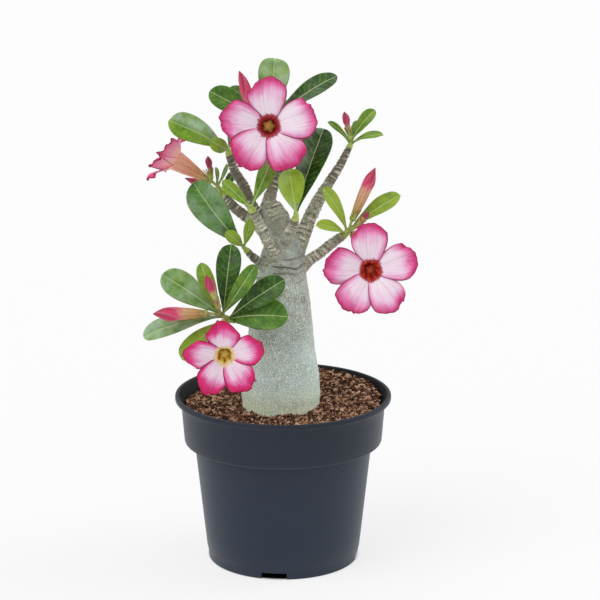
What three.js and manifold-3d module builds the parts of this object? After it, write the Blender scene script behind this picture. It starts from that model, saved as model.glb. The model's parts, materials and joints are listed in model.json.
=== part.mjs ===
// A potted desert rose (Adenium obesum): swollen trunk, scarred branches, leafy
// shoots, four open blooms and eight buds, in a plain nursery pot of soil.
// Millimetres, +Z up, +X to the viewer's right, -Y towards the viewer.
// The origin is the middle of the pot's foot, on the surface that the pot stands on.

import * as THREE from 'three';
import { mergeVertices } from 'three/addons/utils/BufferGeometryUtils.js';
import Module from 'manifold-3d';

const wasm = await Module();
wasm.setup();

// Driving dimensions
const seat = 0.3;                 // gap that touching pieces keep
const pot = {
  height: 118, rimRadius: 75, footRadius: 52.5, wall: 2,
  collarBottom: 85.4, collarRadius: 68.8, collarTopRadius: 70.9,
  shoulderInside: 2.2, bodyTop: 83, bodyTopRadius: 61.7, lipHeight: 4,
  footWidth: 3, floorUnder: 5, floor: 2.2, stepHeight: 7.4, stepOut: 1.1,
  notchCount: 4, notchWidth: 17.5, notchHeight: 4.6, notchTurn: -6.7, drainRadius: 4.5, drainAt: 41,
  segments: 40,
};
const soilTop = 109;
const soilRelief = 0.8;           // how far the lumps of the soil's top rise or sink
const hole = { radius: 28, floor: 80 };
const trunk = {
  axis: [[-1.5, 0, hole.floor + seat], [-1.5, 0, 95], [-1.5, 0, 109], [-1.5, 0, 130], [-1.3, 0, 156],
    [-0.8, 0, 185], [-0.2, 0, 206], [0, 1, 217], [0, 3, 229]],
  radii: [26.5, 27.2, 27.3, 25.8, 23.6, 19.9, 16.1, 15.2, 10.5],
};
const leafThickness = 0.8;
const leafStalk = { half: 0.8, thickness: 1.6, share: 0.15 };
const petalThickness = 0.8;
const tipOffset = 0.25;           // how far a lobe's small point stands from its middle, as a share
const tubeWall = 0.8;
const tubeFloor = 0.26;           // share of a bloom's tube that is solid above its foot
const sepalLength = 3.5;

// Branches: the route of each from inside the trunk to its tip, and its radius along the way
const branches = {
  main: {
    route: [[0, 4, 214], [-3.5, 10, 231.5], [-9, 13, 243.5], [-11.5, 14, 251]],
    radii: [10.5, 8.8, 7.6, 4.8],
  },
  front: {
    route: [[-4.5, -5, 208], [-7, -13, 223.5], [-11, -17.5, 232.5], [-15, -22, 242.5], [-20, -26, 253]],
    radii: [5.6, 4.7, 4, 3.4, 2.9], scars: 8,
  },
  upperLeft: {
    route: [[-3, 7, 222], [-14.5, 10, 238.5], [-22, 8, 251], [-26, 4, 263], [-32.5, 0, 275],
      [-36, -4, 287.5]],
    radii: [5.4, 4.2, 3.9, 3.5, 3.1, 2.8], scars: 12,
  },
  crown: {
    route: [[-10.5, 14, 246], [-7.5, 15, 258.5], [-2.5, 15, 268], [-1.5, 14, 277], [-4, 12, 288.5],
      [-7.5, 12, 299]],
    radii: [5.6, 3.9, 3.2, 2.9, 2.7, 2.6], scars: 9,
  },
  middle: {
    route: [[1.5, -5, 222], [3.5, -13, 233], [7, -17.5, 240.5], [8.5, -20, 246]],
    radii: [4.2, 3.8, 3.4, 2.8], scars: 4,
  },
  rightUpper: {
    route: [[5, 2, 210], [12.5, 5, 226], [18, 9, 239.5], [24.5, 13, 252], [32.5, 16, 265], [39, 18, 275],
      [45.5, 20, 287.5]],
    radii: [7.6, 5.6, 4.9, 4.4, 3.6, 3, 2.4], scars: 14,
  },
  rightLower: {
    route: [[7, -1, 201], [17, -3, 212.5], [25.5, -4, 219], [34, -4, 226], [41, -4, 231]],
    radii: [5.6, 4.1, 3.8, 3.5, 3.1], scars: 8,
  },
  farLeft: {
    route: [[-6, 7, 222], [-17, 14, 233.5], [-25.5, 19, 239], [-34, 23, 245], [-40, 26, 251.5]],
    radii: [5, 4.2, 3.9, 3.6, 3.1], scars: 7,
  },
  lowLeft: {
    route: [[-8, -3, 200], [-16, -8, 213], [-20.5, -10.5, 218], [-24, -12, 222]],
    radii: [4.2, 3.2, 2.8, 2.4], scars: 3,
  },
  side: {
    route: [[-12, -8, 169], [-21, -18, 175.5], [-28, -26, 178], [-34.5, -32, 179.5]],
    radii: [4, 3.2, 3, 2.6], scars: 4,
  },
};

// Blooms: the tube's foot, the middle of its open throat, where it faces and how its lobes spread.
// The lobes stand evenly round the throat, or each has its own turn, length, breadth and angles.
const blooms = {
  top: {
    foot: [-9.5, 8, 304], throat: [-9, -22, 310], facing: [0, -0.98, 0.2], roll: 13,
    lobe: 27.6, breadth: 0.5, throatRadius: 7.5, open: [58, 104],
  },
  right: {
    foot: [48.5, -1, 231], throat: [59.5, -24, 211.5], facing: [0, -0.97, 0.25], roll: 17,
    lobe: 27.2, breadth: 0.46, throatRadius: 7.4, open: [58, 104],
  },
  low: {
    foot: [-40, -42.5, 179], throat: [-38.5, -59, 162], facing: [0.04, -0.99, -0.08],
    throatRadius: 6.2,
    lobes: [9, 91, 171, 242, 308].map((turn) => ({ turn, lobe: 25, breadth: 0.43, open: [52, 96] })),
  },
  left: {
    foot: [-50.5, 24, 263.5], throat: [-73, 22, 277.5], facing: [-0.84, 0.12, 0.52],
    throatRadius: 7,
    lobes: [
      { turn: 106, lobe: 14, breadth: 0.5, open: [20, 120] },
      { turn: 26, lobe: 14.5, breadth: 0.5, open: [10, 56] },
      { turn: 346, lobe: 19, breadth: 0.32, open: [20, 70] },
      { turn: 300, lobe: 18.6, breadth: 0.28, open: [36, 74] },
      { turn: 204, lobe: 16, breadth: 0.5, open: [20, 100] },
    ],
  },
};

// Buds: foot, tip and greatest width
const buds = {
  crown: { foot: [-20.5, 2, 311.5], tip: [-29, 0, 343.5], width: 9 },
  leftUp: { foot: [-49.5, 21.5, 268], tip: [-52, 20, 281], width: 4.4 },
  leftLow: { foot: [-55, 29.5, 259.5], tip: [-67.5, 32, 266], width: 5.6 },
  rightUpper: { foot: [46, 18.5, 295], tip: [42, 18, 312], width: 5.6 },
  rightLower: { foot: [47.5, -6.5, 243.5], tip: [62.5, -8, 279], width: 8.4 },
  rightSmall: { foot: [52, -14.5, 242], tip: [58, -17, 250.5], width: 4.2 },
  sideLevel: { foot: [-51.5, -43, 185.5], tip: [-86, -54, 187.5], width: 9.6 },
  sideUp: { foot: [-43, -45, 191.5], tip: [-49, -55, 213.5], width: 6.2 },
};

// Shoots: the branch that each grows from, the top of its green stem, its leaves and its flower stalks.
// A leaf starts at the share of the stem that its first number gives.
const shoots = {
  crown: {
    top: [-10, 14, 307.5],
    leaves: [
      { at: 0.9, tip: [-5.5, 30, 347], width: 22.5, facing: [0.1, -0.9, 0.4] },
      { at: 0.8, tip: [36.5, 20, 337], width: 14.5, facing: [-0.1, -0.8, 0.6] },
      { at: 0.5, tip: [-49.5, 14, 327], width: 17.5, facing: [0.1, -0.9, 0.4] },
      { at: 0.95, tip: [-38.5, 32, 325], width: 14, facing: [0.1, -0.9, 0.5] },
      { at: 0.7, tip: [3.5, 60, 313], width: 18, facing: [0.3, 0.2, 0.95] },
      { at: 0.55, tip: [-14, 59, 287], width: 17, facing: [-0.2, 0.5, 0.9] },
      { at: 0.5, tip: [12, 50, 281], width: 16, facing: [0.4, 0.6, 0.8] },
    ],
    stalks: [{ at: 0.8, bloom: 'top' }, { at: 0.7, bud: 'crown' }],
  },
  upperLeft: {
    top: [-37, -4.5, 292],
    leaves: [
      { at: 0.5, tip: [-76, -12, 311.5], width: 20, facing: [0, -0.82, 0.5] },
      { at: 0.7, tip: [-48, -21, 300], width: 10.5, facing: [-0.3, -0.8, 0.3], arch: 3 },
      { at: 0.6, tip: [-31, 41, 302], width: 16, facing: [0.1, -0.5, 0.85] },
    ],
    stalks: [],
  },
  front: {
    top: [-21, -27, 258],
    leaves: [
      { at: 0.4, tip: [-39.5, -36, 276], width: 9, facing: [-0.3, -0.8, 0.5], arch: 3 },
      { at: 0.7, tip: [-8, -10, 284], width: 12.5, facing: [0.2, -0.9, 0.3], arch: 3 },
    ],
    stalks: [],
  },
  middle: {
    top: [9, -21, 252],
    leaves: [
      { at: 0.8, tip: [4.5, -20, 280.5], width: 19, facing: [0.05, -1, 0.1], arch: -2, taper: 1.1 },
      { at: 0.5, tip: [28, 2, 303.5], width: 23, facing: [-0.25, -0.9, 0.3] },
    ],
    stalks: [],
  },
  rightUpper: {
    top: [46.8, 20.5, 293],
    leaves: [
      { at: 0.4, tip: [31, 18, 305.5], width: 5.5, facing: [0.55, -0.7, 0.45], arch: 2 },
      { at: 0.8, tip: [62.5, 20, 313.5], width: 9.5, facing: [-0.3, -0.8, 0.3], arch: 3 },
      { at: 0.4, tip: [68, 12, 297.5], width: 7, facing: [-0.2, -0.6, 0.8], arch: 3 },
      { at: 0.6, tip: [59, 52, 299], width: 11, facing: [-0.2, -0.3, 0.9] },
    ],
    stalks: [{ at: 0.7, bud: 'rightUpper' }],
  },
  rightLower: {
    top: [46, -4.5, 236.5],
    leaves: [
      { at: 0.6, tip: [27.5, -8, 265.5], width: 10, facing: [0.3, -0.8, 0.4], arch: 3 },
      { at: 0.3, tip: [23, -14, 241], width: 9, facing: [0.1, -0.75, 0.65], arch: 3 },
      { at: 0.8, tip: [79.5, -4, 259], width: 13, facing: [-0.2, -0.75, 0.6], arch: 3 },
      { at: 0.6, tip: [66, 32, 209], width: 15, facing: [0.4, 0.2, 0.9] },
    ],
    stalks: [{ at: 0.5, bloom: 'right' }, { at: 0.9, bud: 'rightLower' }, { at: 0.95, bud: 'rightSmall' }],
  },
  farLeft: {
    top: [-45.5, 26.5, 259.5],
    leaves: [
      { at: 0.95, tip: [-38.5, 24, 275], width: 3.6, facing: [0.5, -0.8, 0.2], arch: 1 },
      { at: 1, tip: [-46, 27, 272], width: 3.4, facing: [0.4, -0.8, 0.1], arch: 1 },
      { at: 0.6, tip: [-34.5, 36, 266], width: 6.5, facing: [0.2, -0.9, 0.3], arch: 1 },
      { at: 0.8, tip: [-24, 15.5, 248.5], width: 7, facing: [0.2, -0.7, 0.7], arch: 2 },
      { at: 0.4, tip: [-50.5, 60, 240], width: 15, facing: [-0.2, 0.3, 0.9] },
    ],
    stalks: [{ at: 0.9, bloom: 'left' }, { at: 1, bud: 'leftUp' }, { at: 0.7, bud: 'leftLow' }],
  },
  lowLeft: {
    top: [-27, -13.5, 226],
    leaves: [
      { at: 0.5, tip: [-60, -16, 270], width: 24.5, facing: [-0.3, -0.85, 0.3] },
      { at: 0.8, tip: [-22.5, -20, 246.5], width: 8.5, facing: [0.4, -0.85, 0.2], arch: 2 },
      { at: 0.8, tip: [-38, -23, 238], width: 9, facing: [-0.2, -0.85, 0.5], arch: 2 },
    ],
    stalks: [],
  },
  side: {
    top: [-42, -37, 184.5],
    leaves: [
      { at: 0.9, tip: [-80.5, -36, 213], width: 20.5, facing: [-0.1, -0.85, 0.5] },
      { at: 1, tip: [-54.5, -40, 220.5], width: 11.5, facing: [-0.1, -0.9, 0.4] },
      { at: 0.8, tip: [-34.5, -26, 230], width: 17.5, facing: [0, -0.9, 0.35] },
      { at: 0.9, tip: [-16.5, -42, 220.5], width: 13, facing: [0.2, -0.9, 0.4] },
      { at: 0.4, tip: [1, -36, 211.5], width: 19, facing: [0.1, -0.85, 0.5] },
      { at: 0.3, tip: [3.5, -42, 185], width: 21, facing: [0.1, -0.75, 0.65] },
      { at: 0.8, tip: [-93.5, -42, 170.5], width: 15.5, facing: [-0.1, -0.75, 0.65] },
      { at: 0.4, tip: [-68, -38, 153.5], width: 14.5, facing: [-0.3, -0.8, 0.5] },
      { at: 0.6, tip: [-68, 4, 192], width: 15, facing: [-0.4, -0.2, 0.9] },
    ],
    stalks: [{ at: 0.5, bloom: 'low' }, { at: 0.9, bud: 'sideLevel' }, { at: 1, bud: 'sideUp' }],
  },
};

// Materials, coloured from the photograph
const paint = (color, roughness) => new THREE.MeshStandardMaterial({ color, roughness, metalness: 0 });
const potMaterial = () => paint('#41474f', 0.5);
const soilMaterial = () => paint('#5a3d2c', 0.95);
const barkMaterial = () => paint('#a5a896', 0.75);
const leafMaterial = () => paint('#5b8a3a', 0.4);
const petalMaterial = () => paint('#ee7fb4', 0.5);
const budMaterial = () => paint('#d5405f', 0.5);
const antherMaterial = () => paint('#a9652a', 0.7);

const vector = ([x, y, z]) => new THREE.Vector3(x, y, z);
const curveThrough = (points) => new THREE.CatmullRomCurve3(points.map(vector), false, 'catmullrom', 0.5);
const radians = THREE.MathUtils.degToRad;
const clamp = THREE.MathUtils.clamp;
const steady = new THREE.Vector3(0.02, 0.05, 1);      // keeps a tube's or bud's cross section from twisting

// A number from -1 to 1 that depends only on the two numbers given, so each build is the same
function grain(a, b) {
  const s = Math.sin(a * 127.1 + b * 311.7) * 43758.5453;
  return 2 * (s - Math.floor(s)) - 1;
}

// A closed geometry as a solid
function solid(geometry) {
  const bare = geometry.clone();
  bare.deleteAttribute('normal');
  bare.deleteAttribute('uv');
  const merged = mergeVertices(bare, 1e-4);
  return new wasm.Manifold(new wasm.Mesh({
    numProp: 3,
    vertProperties: new Float32Array(merged.attributes.position.array),
    triVerts: new Uint32Array(merged.index.array),
  }));
}

const fuse = (solids) => solids.reduce((sum, next) => sum.add(next));

// A solid as a named mesh
function mesh(name, body, material) {
  const data = body.getMesh();
  const geometry = new THREE.BufferGeometry();
  geometry.setAttribute('position', new THREE.BufferAttribute(new Float32Array(data.vertProperties), 3));
  geometry.setIndex(new THREE.BufferAttribute(new Uint32Array(data.triVerts), 1));
  geometry.computeVertexNormals();
  const piece = new THREE.Mesh(geometry, material);
  piece.name = name;
  return piece;
}

// Moves every vertex of a geometry to where a formula puts it
function shaped(geometry, place) {
  const position = geometry.attributes.position;
  const vertex = new THREE.Vector3();
  for (let i = 0; i < position.count; i += 1) {
    vertex.fromBufferAttribute(position, i);
    const moved = place(vertex);
    position.setXYZ(i, moved.x, moved.y, moved.z);
  }
  return geometry;
}

// The cross directions of a curve at t, kept steady by one reference direction
function crossFrame(curve, t, reference) {
  const along = curve.getTangent(clamp(t, 0, 1));
  const side = new THREE.Vector3().crossVectors(along, reference).normalize();
  const over = new THREE.Vector3().crossVectors(side, along);
  return { along, side, over };
}

// Bends a geometry that stands along y, from 0 to 1, so that it follows a curve,
// and runs on straight past the curve's ends
function followed(geometry, curve, reference) {
  return shaped(geometry, (v) => {
    const { along, side, over } = crossFrame(curve, v.y, reference);
    const within = clamp(v.y, 0, 1);
    return curve.getPoint(within)
      .addScaledVector(along, (v.y - within) * curve.getLength())
      .addScaledVector(side, v.x)
      .addScaledVector(over, v.z);
  });
}

// The value at t of a list of values spaced evenly from 0 to 1
function between(values, t) {
  const place = clamp(t, 0, 1) * (values.length - 1);
  const low = Math.min(Math.floor(place), values.length - 2);
  return THREE.MathUtils.lerp(values[low], values[low + 1], place - low);
}

// A round limb along a curve, with its radius from a list and its surface swollen by a formula
function limb(curve, radii, sides, steps, swell = () => 0, reference = new THREE.Vector3(0, 1, 0.02)) {
  const stem = new THREE.CylinderGeometry(1, 1, 1, sides, steps).translate(0, 0.5, 0);
  shaped(stem, (v) => {
    const radius = between(radii, v.y) * (1 + swell(v.y, Math.atan2(v.z, v.x)));
    return new THREE.Vector3(v.x * radius, v.y, v.z * radius);
  });
  return solid(followed(stem, curve, reference));
}

// Pot

function potProfile() {
  const p = pot;
  const floorTop = p.floorUnder + p.floor;
  const lipBottom = p.height - p.lipHeight;
  const footInside = p.footRadius - p.footWidth;
  const stepRadius = p.footRadius + p.stepOut;
  return [
    [0, p.floorUnder], [footInside - 0.4, p.floorUnder], [footInside, 0],
    [p.footRadius, 0], [stepRadius - 0.4, p.stepHeight], [stepRadius, p.stepHeight + 0.4],
    [p.bodyTopRadius, p.bodyTop], [p.collarRadius - 0.5, p.collarBottom - 0.3],
    [p.collarRadius, p.collarBottom + 0.4], [p.collarTopRadius, lipBottom],
    [p.rimRadius, lipBottom + 0.6], [p.rimRadius, p.height - 0.8],
    [p.rimRadius - 0.8, p.height], [p.rimRadius - 2.6, p.height],
    [p.collarTopRadius - p.wall, lipBottom - 1.5],
    [p.collarRadius - p.wall, p.collarBottom + p.shoulderInside],
    [p.bodyTopRadius - p.wall, p.bodyTop + 1.2],
    [stepRadius - p.wall, floorTop + 1.4], [stepRadius - p.wall - 2, floorTop], [0, floorTop],
  ];
}

function makePot() {
  const p = pot;
  const points = potProfile().map(([r, z]) => new THREE.Vector2(r, z));
  let body = solid(new THREE.LatheGeometry(points, p.segments).rotateX(Math.PI / 2));
  for (let i = 0; i < p.notchCount; i += 1) {
    const turn = radians(p.notchTurn + (360 / p.notchCount) * i);
    const notch = new THREE.BoxGeometry(p.notchWidth, 20, 2 * p.notchHeight)
      .translate(0, -p.footRadius, 0).rotateZ(turn);
    const drain = new THREE.CylinderGeometry(p.drainRadius, p.drainRadius, 12, 12)
      .rotateX(Math.PI / 2).translate(0, -p.drainAt, p.floorUnder).rotateZ(turn);
    body = body.subtract(solid(notch)).subtract(solid(drain));
  }
  return mesh('pot', body, potMaterial());
}

// Soil

function makeSoil() {
  const p = pot;
  const inset = p.wall + seat;
  const low = p.floorUnder + p.floor + seat;
  const shoulder = p.collarBottom + p.shoulderInside;
  const collarSlope = (p.collarTopRadius - p.collarRadius) / (p.height - p.lipHeight - shoulder);
  const edgeRadius = p.collarRadius - inset + collarSlope * (soilTop - shoulder);
  const stepRadius = p.footRadius + p.stepOut;
  const rings = [62, 52, 42, 33];
  const points = [
    [0, low], [stepRadius - inset - 2, low], [stepRadius - inset, low + 1.5],
    [p.bodyTopRadius - inset, p.bodyTop + 1.4], [p.collarRadius - inset, shoulder + seat],
    [edgeRadius, soilTop - 0.4], ...rings.map((r) => [r, soilTop]), [0, soilTop],
  ].map(([r, z]) => new THREE.Vector2(r, z));
  const heap = shaped(new THREE.LatheGeometry(points, p.segments).rotateX(Math.PI / 2), (v) => {
    const radius = Math.hypot(v.x, v.y);
    const loose = v.z > soilTop - 0.1 && radius > hole.radius;
    const lump = loose ? soilRelief * grain(Math.round(v.x), Math.round(v.y)) : 0;
    return new THREE.Vector3(v.x, v.y, v.z + lump);
  });
  const socket = new THREE.CylinderGeometry(hole.radius, hole.radius, 60, 32)
    .rotateX(Math.PI / 2).translate(trunk.axis[0][0], 0, hole.floor + 30);
  return mesh('soil', solid(heap).subtract(solid(socket)), soilMaterial());
}

// Trunk and branches

const trunkCurve = curveThrough(trunk.axis);
const trunkSwell = (t, angle) => 0.012 * Math.sin(3 * angle + 4 * t) + 0.008 * Math.sin(5 * angle - 9 * t);
const branchCurves = Object.fromEntries(
  Object.entries(branches).map(([name, branch]) => [name, curveThrough(branch.route)]),
);

// The leaf scars ring each branch as low steps
const scarSwell = (scars) => (t) => (scars ? 0.05 * Math.cos(2 * Math.PI * scars * t) : 0);

function makeCaudex() {
  const limbs = Object.entries(branches).map(([name, branch]) => {
    const steps = branch.scars ? 2 * branch.scars : 6;
    return limb(branchCurves[name], branch.radii, 6, steps, scarSwell(branch.scars));
  });
  const body = limb(trunkCurve, trunk.radii, 22, 12, trunkSwell);
  return mesh('caudex', fuse([body, ...limbs]), barkMaterial());
}

// Leaves

// The half width of a leaf at t from its stalk to its tip, as a share of its greatest half width.
// A higher taper keeps the stalk end narrow for longer.
function leafOutline(t, taper) {
  const round = 0.45;
  const shape = (s) => s ** taper * (1 - s) ** round;
  return shape(clamp(t, 0, 1)) / shape(taper / (taper + round));
}

function leaf(base, { tip, width, facing, arch = 5, fold = 16, taper = 1.3 }) {
  const end = vector(tip);
  const along = end.clone().sub(base);
  const length = along.length();
  along.normalize();
  const side = new THREE.Vector3().crossVectors(along, vector(facing)).normalize();
  const face = new THREE.Vector3().crossVectors(side, along);
  const blade = new THREE.BoxGeometry(2, 1, 1, 2, 6, 1).translate(0, 0.5, 0);
  return solid(shaped(blade, (v) => {
    const half = Math.max(leafStalk.half, 0.5 * width * leafOutline(v.y, taper));
    const lift = arch * 4 * v.y * (1 - v.y) + half * Math.abs(v.x) * Math.sin(radians(fold));
    const thickness = v.y < leafStalk.share ? leafStalk.thickness : leafThickness;
    return base.clone()
      .addScaledVector(along, v.y * length)
      .addScaledVector(side, v.x * half * Math.cos(radians(fold)))
      .addScaledVector(face, lift + v.z * thickness);
  }));
}

// Blooms

// The line of a bloom's tube, from its foot to its throat, which it reaches along its facing
function tubeCurve({ foot, throat, facing }) {
  const start = vector(foot);
  const end = vector(throat);
  const reach = 0.5 * start.distanceTo(end);
  const bend = end.clone().addScaledVector(vector(facing).normalize(), -reach);
  return new THREE.QuadraticBezierCurve3(start, bend, end);
}

const tubeRadii = (throatRadius) => [1.9, 0.5 * throatRadius, 0.78 * throatRadius, throatRadius];
const tubeRadiusAt = ({ throatRadius }) => (t) => between(tubeRadii(throatRadius), t);

function tube(bloom) {
  const radii = tubeRadii(bloom.throatRadius);
  const outside = radii.map((r, i) => [r, i / (radii.length - 1)]);
  const inside = [[radii[3] - tubeWall, 1], [radii[2] - tubeWall, 0.66], [1.6, tubeFloor]];
  const points = [[0, 0], ...outside, ...inside, [0, tubeFloor]].map(([r, t]) => new THREE.Vector2(r, t));
  return solid(followed(new THREE.LatheGeometry(points, 10), tubeCurve(bloom), steady));
}

// The directions across a bloom's open face: right, up and out of it
function faceAxes({ facing }) {
  const out = vector(facing).normalize();
  const right = new THREE.Vector3().crossVectors(steady, out).normalize();
  const up = new THREE.Vector3().crossVectors(out, right);
  return { right, up, out };
}

// One lobe: its middle line bends from the first open angle to the second, it widens from
// the throat, its outer edge is round with a small point, and one side laps over the next lobe
function lobe(bloom, { turn, lobe: lobeLength, breadth, open }) {
  const { right, up, out } = faceAxes(bloom);
  const away = right.clone().multiplyScalar(Math.cos(radians(turn)))
    .addScaledVector(up, Math.sin(radians(turn)));
  const across = new THREE.Vector3().crossVectors(away, out);
  const [first, last] = open.map(radians);
  const reach = lobeLength + 2;
  const root = bloom.throatRadius - 1.1;
  const centre = vector(bloom.throat);
  const blade = new THREE.BoxGeometry(2, 1, 1, 4, 4, 1).translate(0, 0.5, 0);
  return solid(shaped(blade, (v) => {
    const x = v.x - tipOffset * (1 - v.x * v.x);
    const edge = Math.abs(x);
    const point = 0.08 * Math.exp(-(((x + tipOffset) / 0.2) ** 2));
    const share = v.y * (0.92 - 0.26 * edge ** 2.6 + point);
    const angle = first + (last - first) * share;
    const radial = root + reach * (Math.cos(first) - Math.cos(angle)) / (last - first);
    const rise = reach * (Math.sin(angle) - Math.sin(first)) / (last - first);
    const widening = Math.sin(1.9 * v.y) ** 0.9;
    const half = THREE.MathUtils.lerp(0.6 * bloom.throatRadius, breadth * lobeLength, widening);
    const lap = (1.5 * x + 0.8 * edge * edge) * Math.sqrt(v.y);
    return centre.clone()
      .addScaledVector(away, radial)
      .addScaledVector(across, x * half)
      .addScaledVector(out, rise - 0.6 + lap + v.z * petalThickness);
  }));
}

function makeBloom(name, bloom) {
  const evenly = [0, 1, 2, 3, 4].map((i) => ({ ...bloom, turn: bloom.roll + 72 * i }));
  const lobes = (bloom.lobes ?? evenly).map((shape) => lobe(bloom, shape));
  return mesh(`bloom_${name}`, fuse([tube(bloom), ...lobes]), petalMaterial());
}

// The cone of anthers that stands in each throat
function makeAnthers(name, bloom) {
  const length = vector(bloom.foot).distanceTo(vector(bloom.throat));
  const start = tubeFloor + seat / length;
  const points = [[0, start], [0.9, start], [2.1, 0.7], [1.5, 0.85], [0, 0.97]]
    .map(([r, t]) => new THREE.Vector2(r, t));
  const cone = followed(new THREE.LatheGeometry(points, 6), tubeCurve(bloom), steady);
  return mesh(`anthers_${name}`, solid(cone), antherMaterial());
}

// Buds

// A closed bud: narrow tube, swollen upper part and pointed tip, as [share of length, share of radius]
const budOutline = [[0, 0.3], [0.2, 0.5], [0.45, 0.78], [0.68, 1], [0.82, 0.82], [0.93, 0.42], [1, 0.1]];
const budLine = ({ foot, tip }) => new THREE.LineCurve3(vector(foot), vector(tip));

function budRadiusAt({ width }) {
  const [[, foot], [share, low]] = budOutline;
  return (t) => 0.5 * width * THREE.MathUtils.lerp(foot, low, t / share);
}

function makeBud(name, bud) {
  const points = [[0, 0], ...budOutline.map(([t, r]) => [0.5 * bud.width * r, t]), [0, 1]]
    .map(([r, t]) => new THREE.Vector2(r, t));
  const body = followed(new THREE.LatheGeometry(points, 8), budLine(bud), steady);
  return mesh(`bud_${name}`, solid(body), budMaterial());
}

// Shoots

// The green cup of five sepals that a flower or bud stands in: its floor is just under the
// foot, and it flares as the tube inside it does, whose radius at a share of its length is known
function calyx(line, radiusAt) {
  const length = line.getLength();
  const low = radiusAt(0);
  const depth = sepalLength + low;
  const high = radiusAt(depth / length);
  const points = [[0, -2], [low + 1.3, 0], [high + 1.4, depth], [high + 0.6, depth], [low + 0.6, 0], [0, 0]]
    .map(([r, y]) => new THREE.Vector2(r, y));
  const cup = shaped(new THREE.LatheGeometry(points, 10), (v) => {
    const sector = Math.round(Math.atan2(v.x, v.z) / (Math.PI / 5));
    const notched = v.y > 1 && Math.abs(sector) % 2 === 1;
    return new THREE.Vector3(v.x, ((notched ? 1.2 : v.y) - seat) / length, v.z);
  });
  return solid(followed(cup, line, steady));
}

function stalk(start, { bloom, bud }) {
  const line = bloom ? tubeCurve(blooms[bloom]) : budLine(buds[bud]);
  const radiusAt = bloom ? tubeRadiusAt(blooms[bloom]) : budRadiusAt(buds[bud]);
  const direction = line.getTangent(0);
  const under = line.getPoint(0).addScaledVector(direction, -1.4);
  const bend = under.clone().addScaledVector(direction, -0.4 * start.distanceTo(under));
  const route = new THREE.QuadraticBezierCurve3(start, bend, under);
  return limb(route, [1.2, 1.1, 1.1], 5, 2, () => 0, steady).add(calyx(line, radiusAt));
}

function makeShoot(name, shoot) {
  const branch = branchCurves[name];
  const radius = branches[name].radii.at(-1);
  const tip = branch.getPoint(1);
  const start = tip.clone().addScaledVector(branch.getTangent(1), seat + 0.05);
  const knee = start.clone().addScaledVector(branch.getTangent(1), 2.5);
  const stem = new THREE.QuadraticBezierCurve3(start, knee, vector(shoot.top));
  const parts = [
    limb(stem, [0.95 * radius, 0.85 * radius, 0.75 * radius, 0.5 * radius], 6, 2),
    ...shoot.leaves.map((blade) => leaf(stem.getPoint(blade.at), blade)),
    ...shoot.stalks.map((flower) => stalk(stem.getPoint(flower.at), flower)),
  ];
  return mesh(`shoot_${name}`, fuse(parts), leafMaterial());
}

const group = new THREE.Group();
group.add(makePot(), makeSoil(), makeCaudex());
for (const [name, shoot] of Object.entries(shoots)) {
  group.add(makeShoot(name, shoot));
}
for (const [name, bloom] of Object.entries(blooms)) {
  group.add(makeBloom(name, bloom), makeAnthers(name, bloom));
}
for (const [name, bud] of Object.entries(buds)) {
  group.add(makeBud(name, bud));
}

export default group;
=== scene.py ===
import bpy
import json
import math
import random
import numpy
from functools import partial
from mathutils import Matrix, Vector, kdtree, noise

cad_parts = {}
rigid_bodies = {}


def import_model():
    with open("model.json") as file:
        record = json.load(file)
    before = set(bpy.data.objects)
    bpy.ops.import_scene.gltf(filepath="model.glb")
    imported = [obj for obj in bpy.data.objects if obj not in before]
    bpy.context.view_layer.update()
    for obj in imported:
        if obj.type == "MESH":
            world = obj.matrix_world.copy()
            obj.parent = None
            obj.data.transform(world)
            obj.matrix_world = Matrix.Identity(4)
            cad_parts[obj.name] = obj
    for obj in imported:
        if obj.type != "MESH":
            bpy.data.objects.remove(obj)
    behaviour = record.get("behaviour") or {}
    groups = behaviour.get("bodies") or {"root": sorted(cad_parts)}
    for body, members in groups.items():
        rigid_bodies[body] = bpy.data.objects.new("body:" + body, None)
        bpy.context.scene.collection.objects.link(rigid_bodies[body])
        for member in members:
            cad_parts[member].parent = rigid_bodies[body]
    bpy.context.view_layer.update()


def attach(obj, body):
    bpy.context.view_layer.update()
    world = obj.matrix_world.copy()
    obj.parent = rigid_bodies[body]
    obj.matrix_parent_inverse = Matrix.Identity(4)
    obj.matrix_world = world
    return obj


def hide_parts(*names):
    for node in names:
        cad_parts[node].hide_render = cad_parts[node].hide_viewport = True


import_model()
mm = 0.001
rng = random.Random(21)


def toLinear(hexCode, alpha=1.0):
    parts = [int(hexCode[i:i + 2], 16) / 255 for i in (1, 3, 5)]
    return [p / 12.92 if p <= 0.04045 else ((p + 0.055) / 1.055) ** 2.4 for p in parts] + [alpha]


def deselectAll():
    bpy.ops.object.select_all(action="DESELECT")


def mix(a, b, share):
    return a + (b - a) * share


def clamp(value, low=0.0, high=1.0):
    return max(low, min(high, value))


def ease(low, high, value):
    share = clamp((value - low) / (high - low))
    return share * share * (3 - 2 * share)


# the value at t of a list of values spaced evenly from 0 to 1
def between(values, t):
    place = clamp(t) * (len(values) - 1)
    low = min(int(place), len(values) - 2)
    return mix(values[low], values[low + 1], place - low)


# a smooth curve through points, with the same run as the solids' own curves
def curveThrough(points):
    knots = [Vector(p) for p in points]
    knots = [knots[0] * 2 - knots[1], *knots, knots[-1] * 2 - knots[-2]]
    last = len(knots) - 4

    def at(t):
        place = clamp(t) * (last + 1)
        low = min(int(place), last)
        w = place - low
        a, b, c, d = knots[low:low + 4]
        start, end = (c - a) * 0.5, (d - b) * 0.5
        square = c * 3 - b * 3 - start * 2 - end
        cube = b * 2 - c * 2 + start + end
        return b + start * w + square * w ** 2 + cube * w ** 3
    return at


def bendThrough(start, bend, end):
    start, bend, end = Vector(start), Vector(bend), Vector(end)
    return lambda t: start * (1 - t) ** 2 + bend * 2 * t * (1 - t) + end * t ** 2


def straight(start, end):
    start, end = Vector(start), Vector(end)
    return lambda t: start + (end - start) * t


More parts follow.
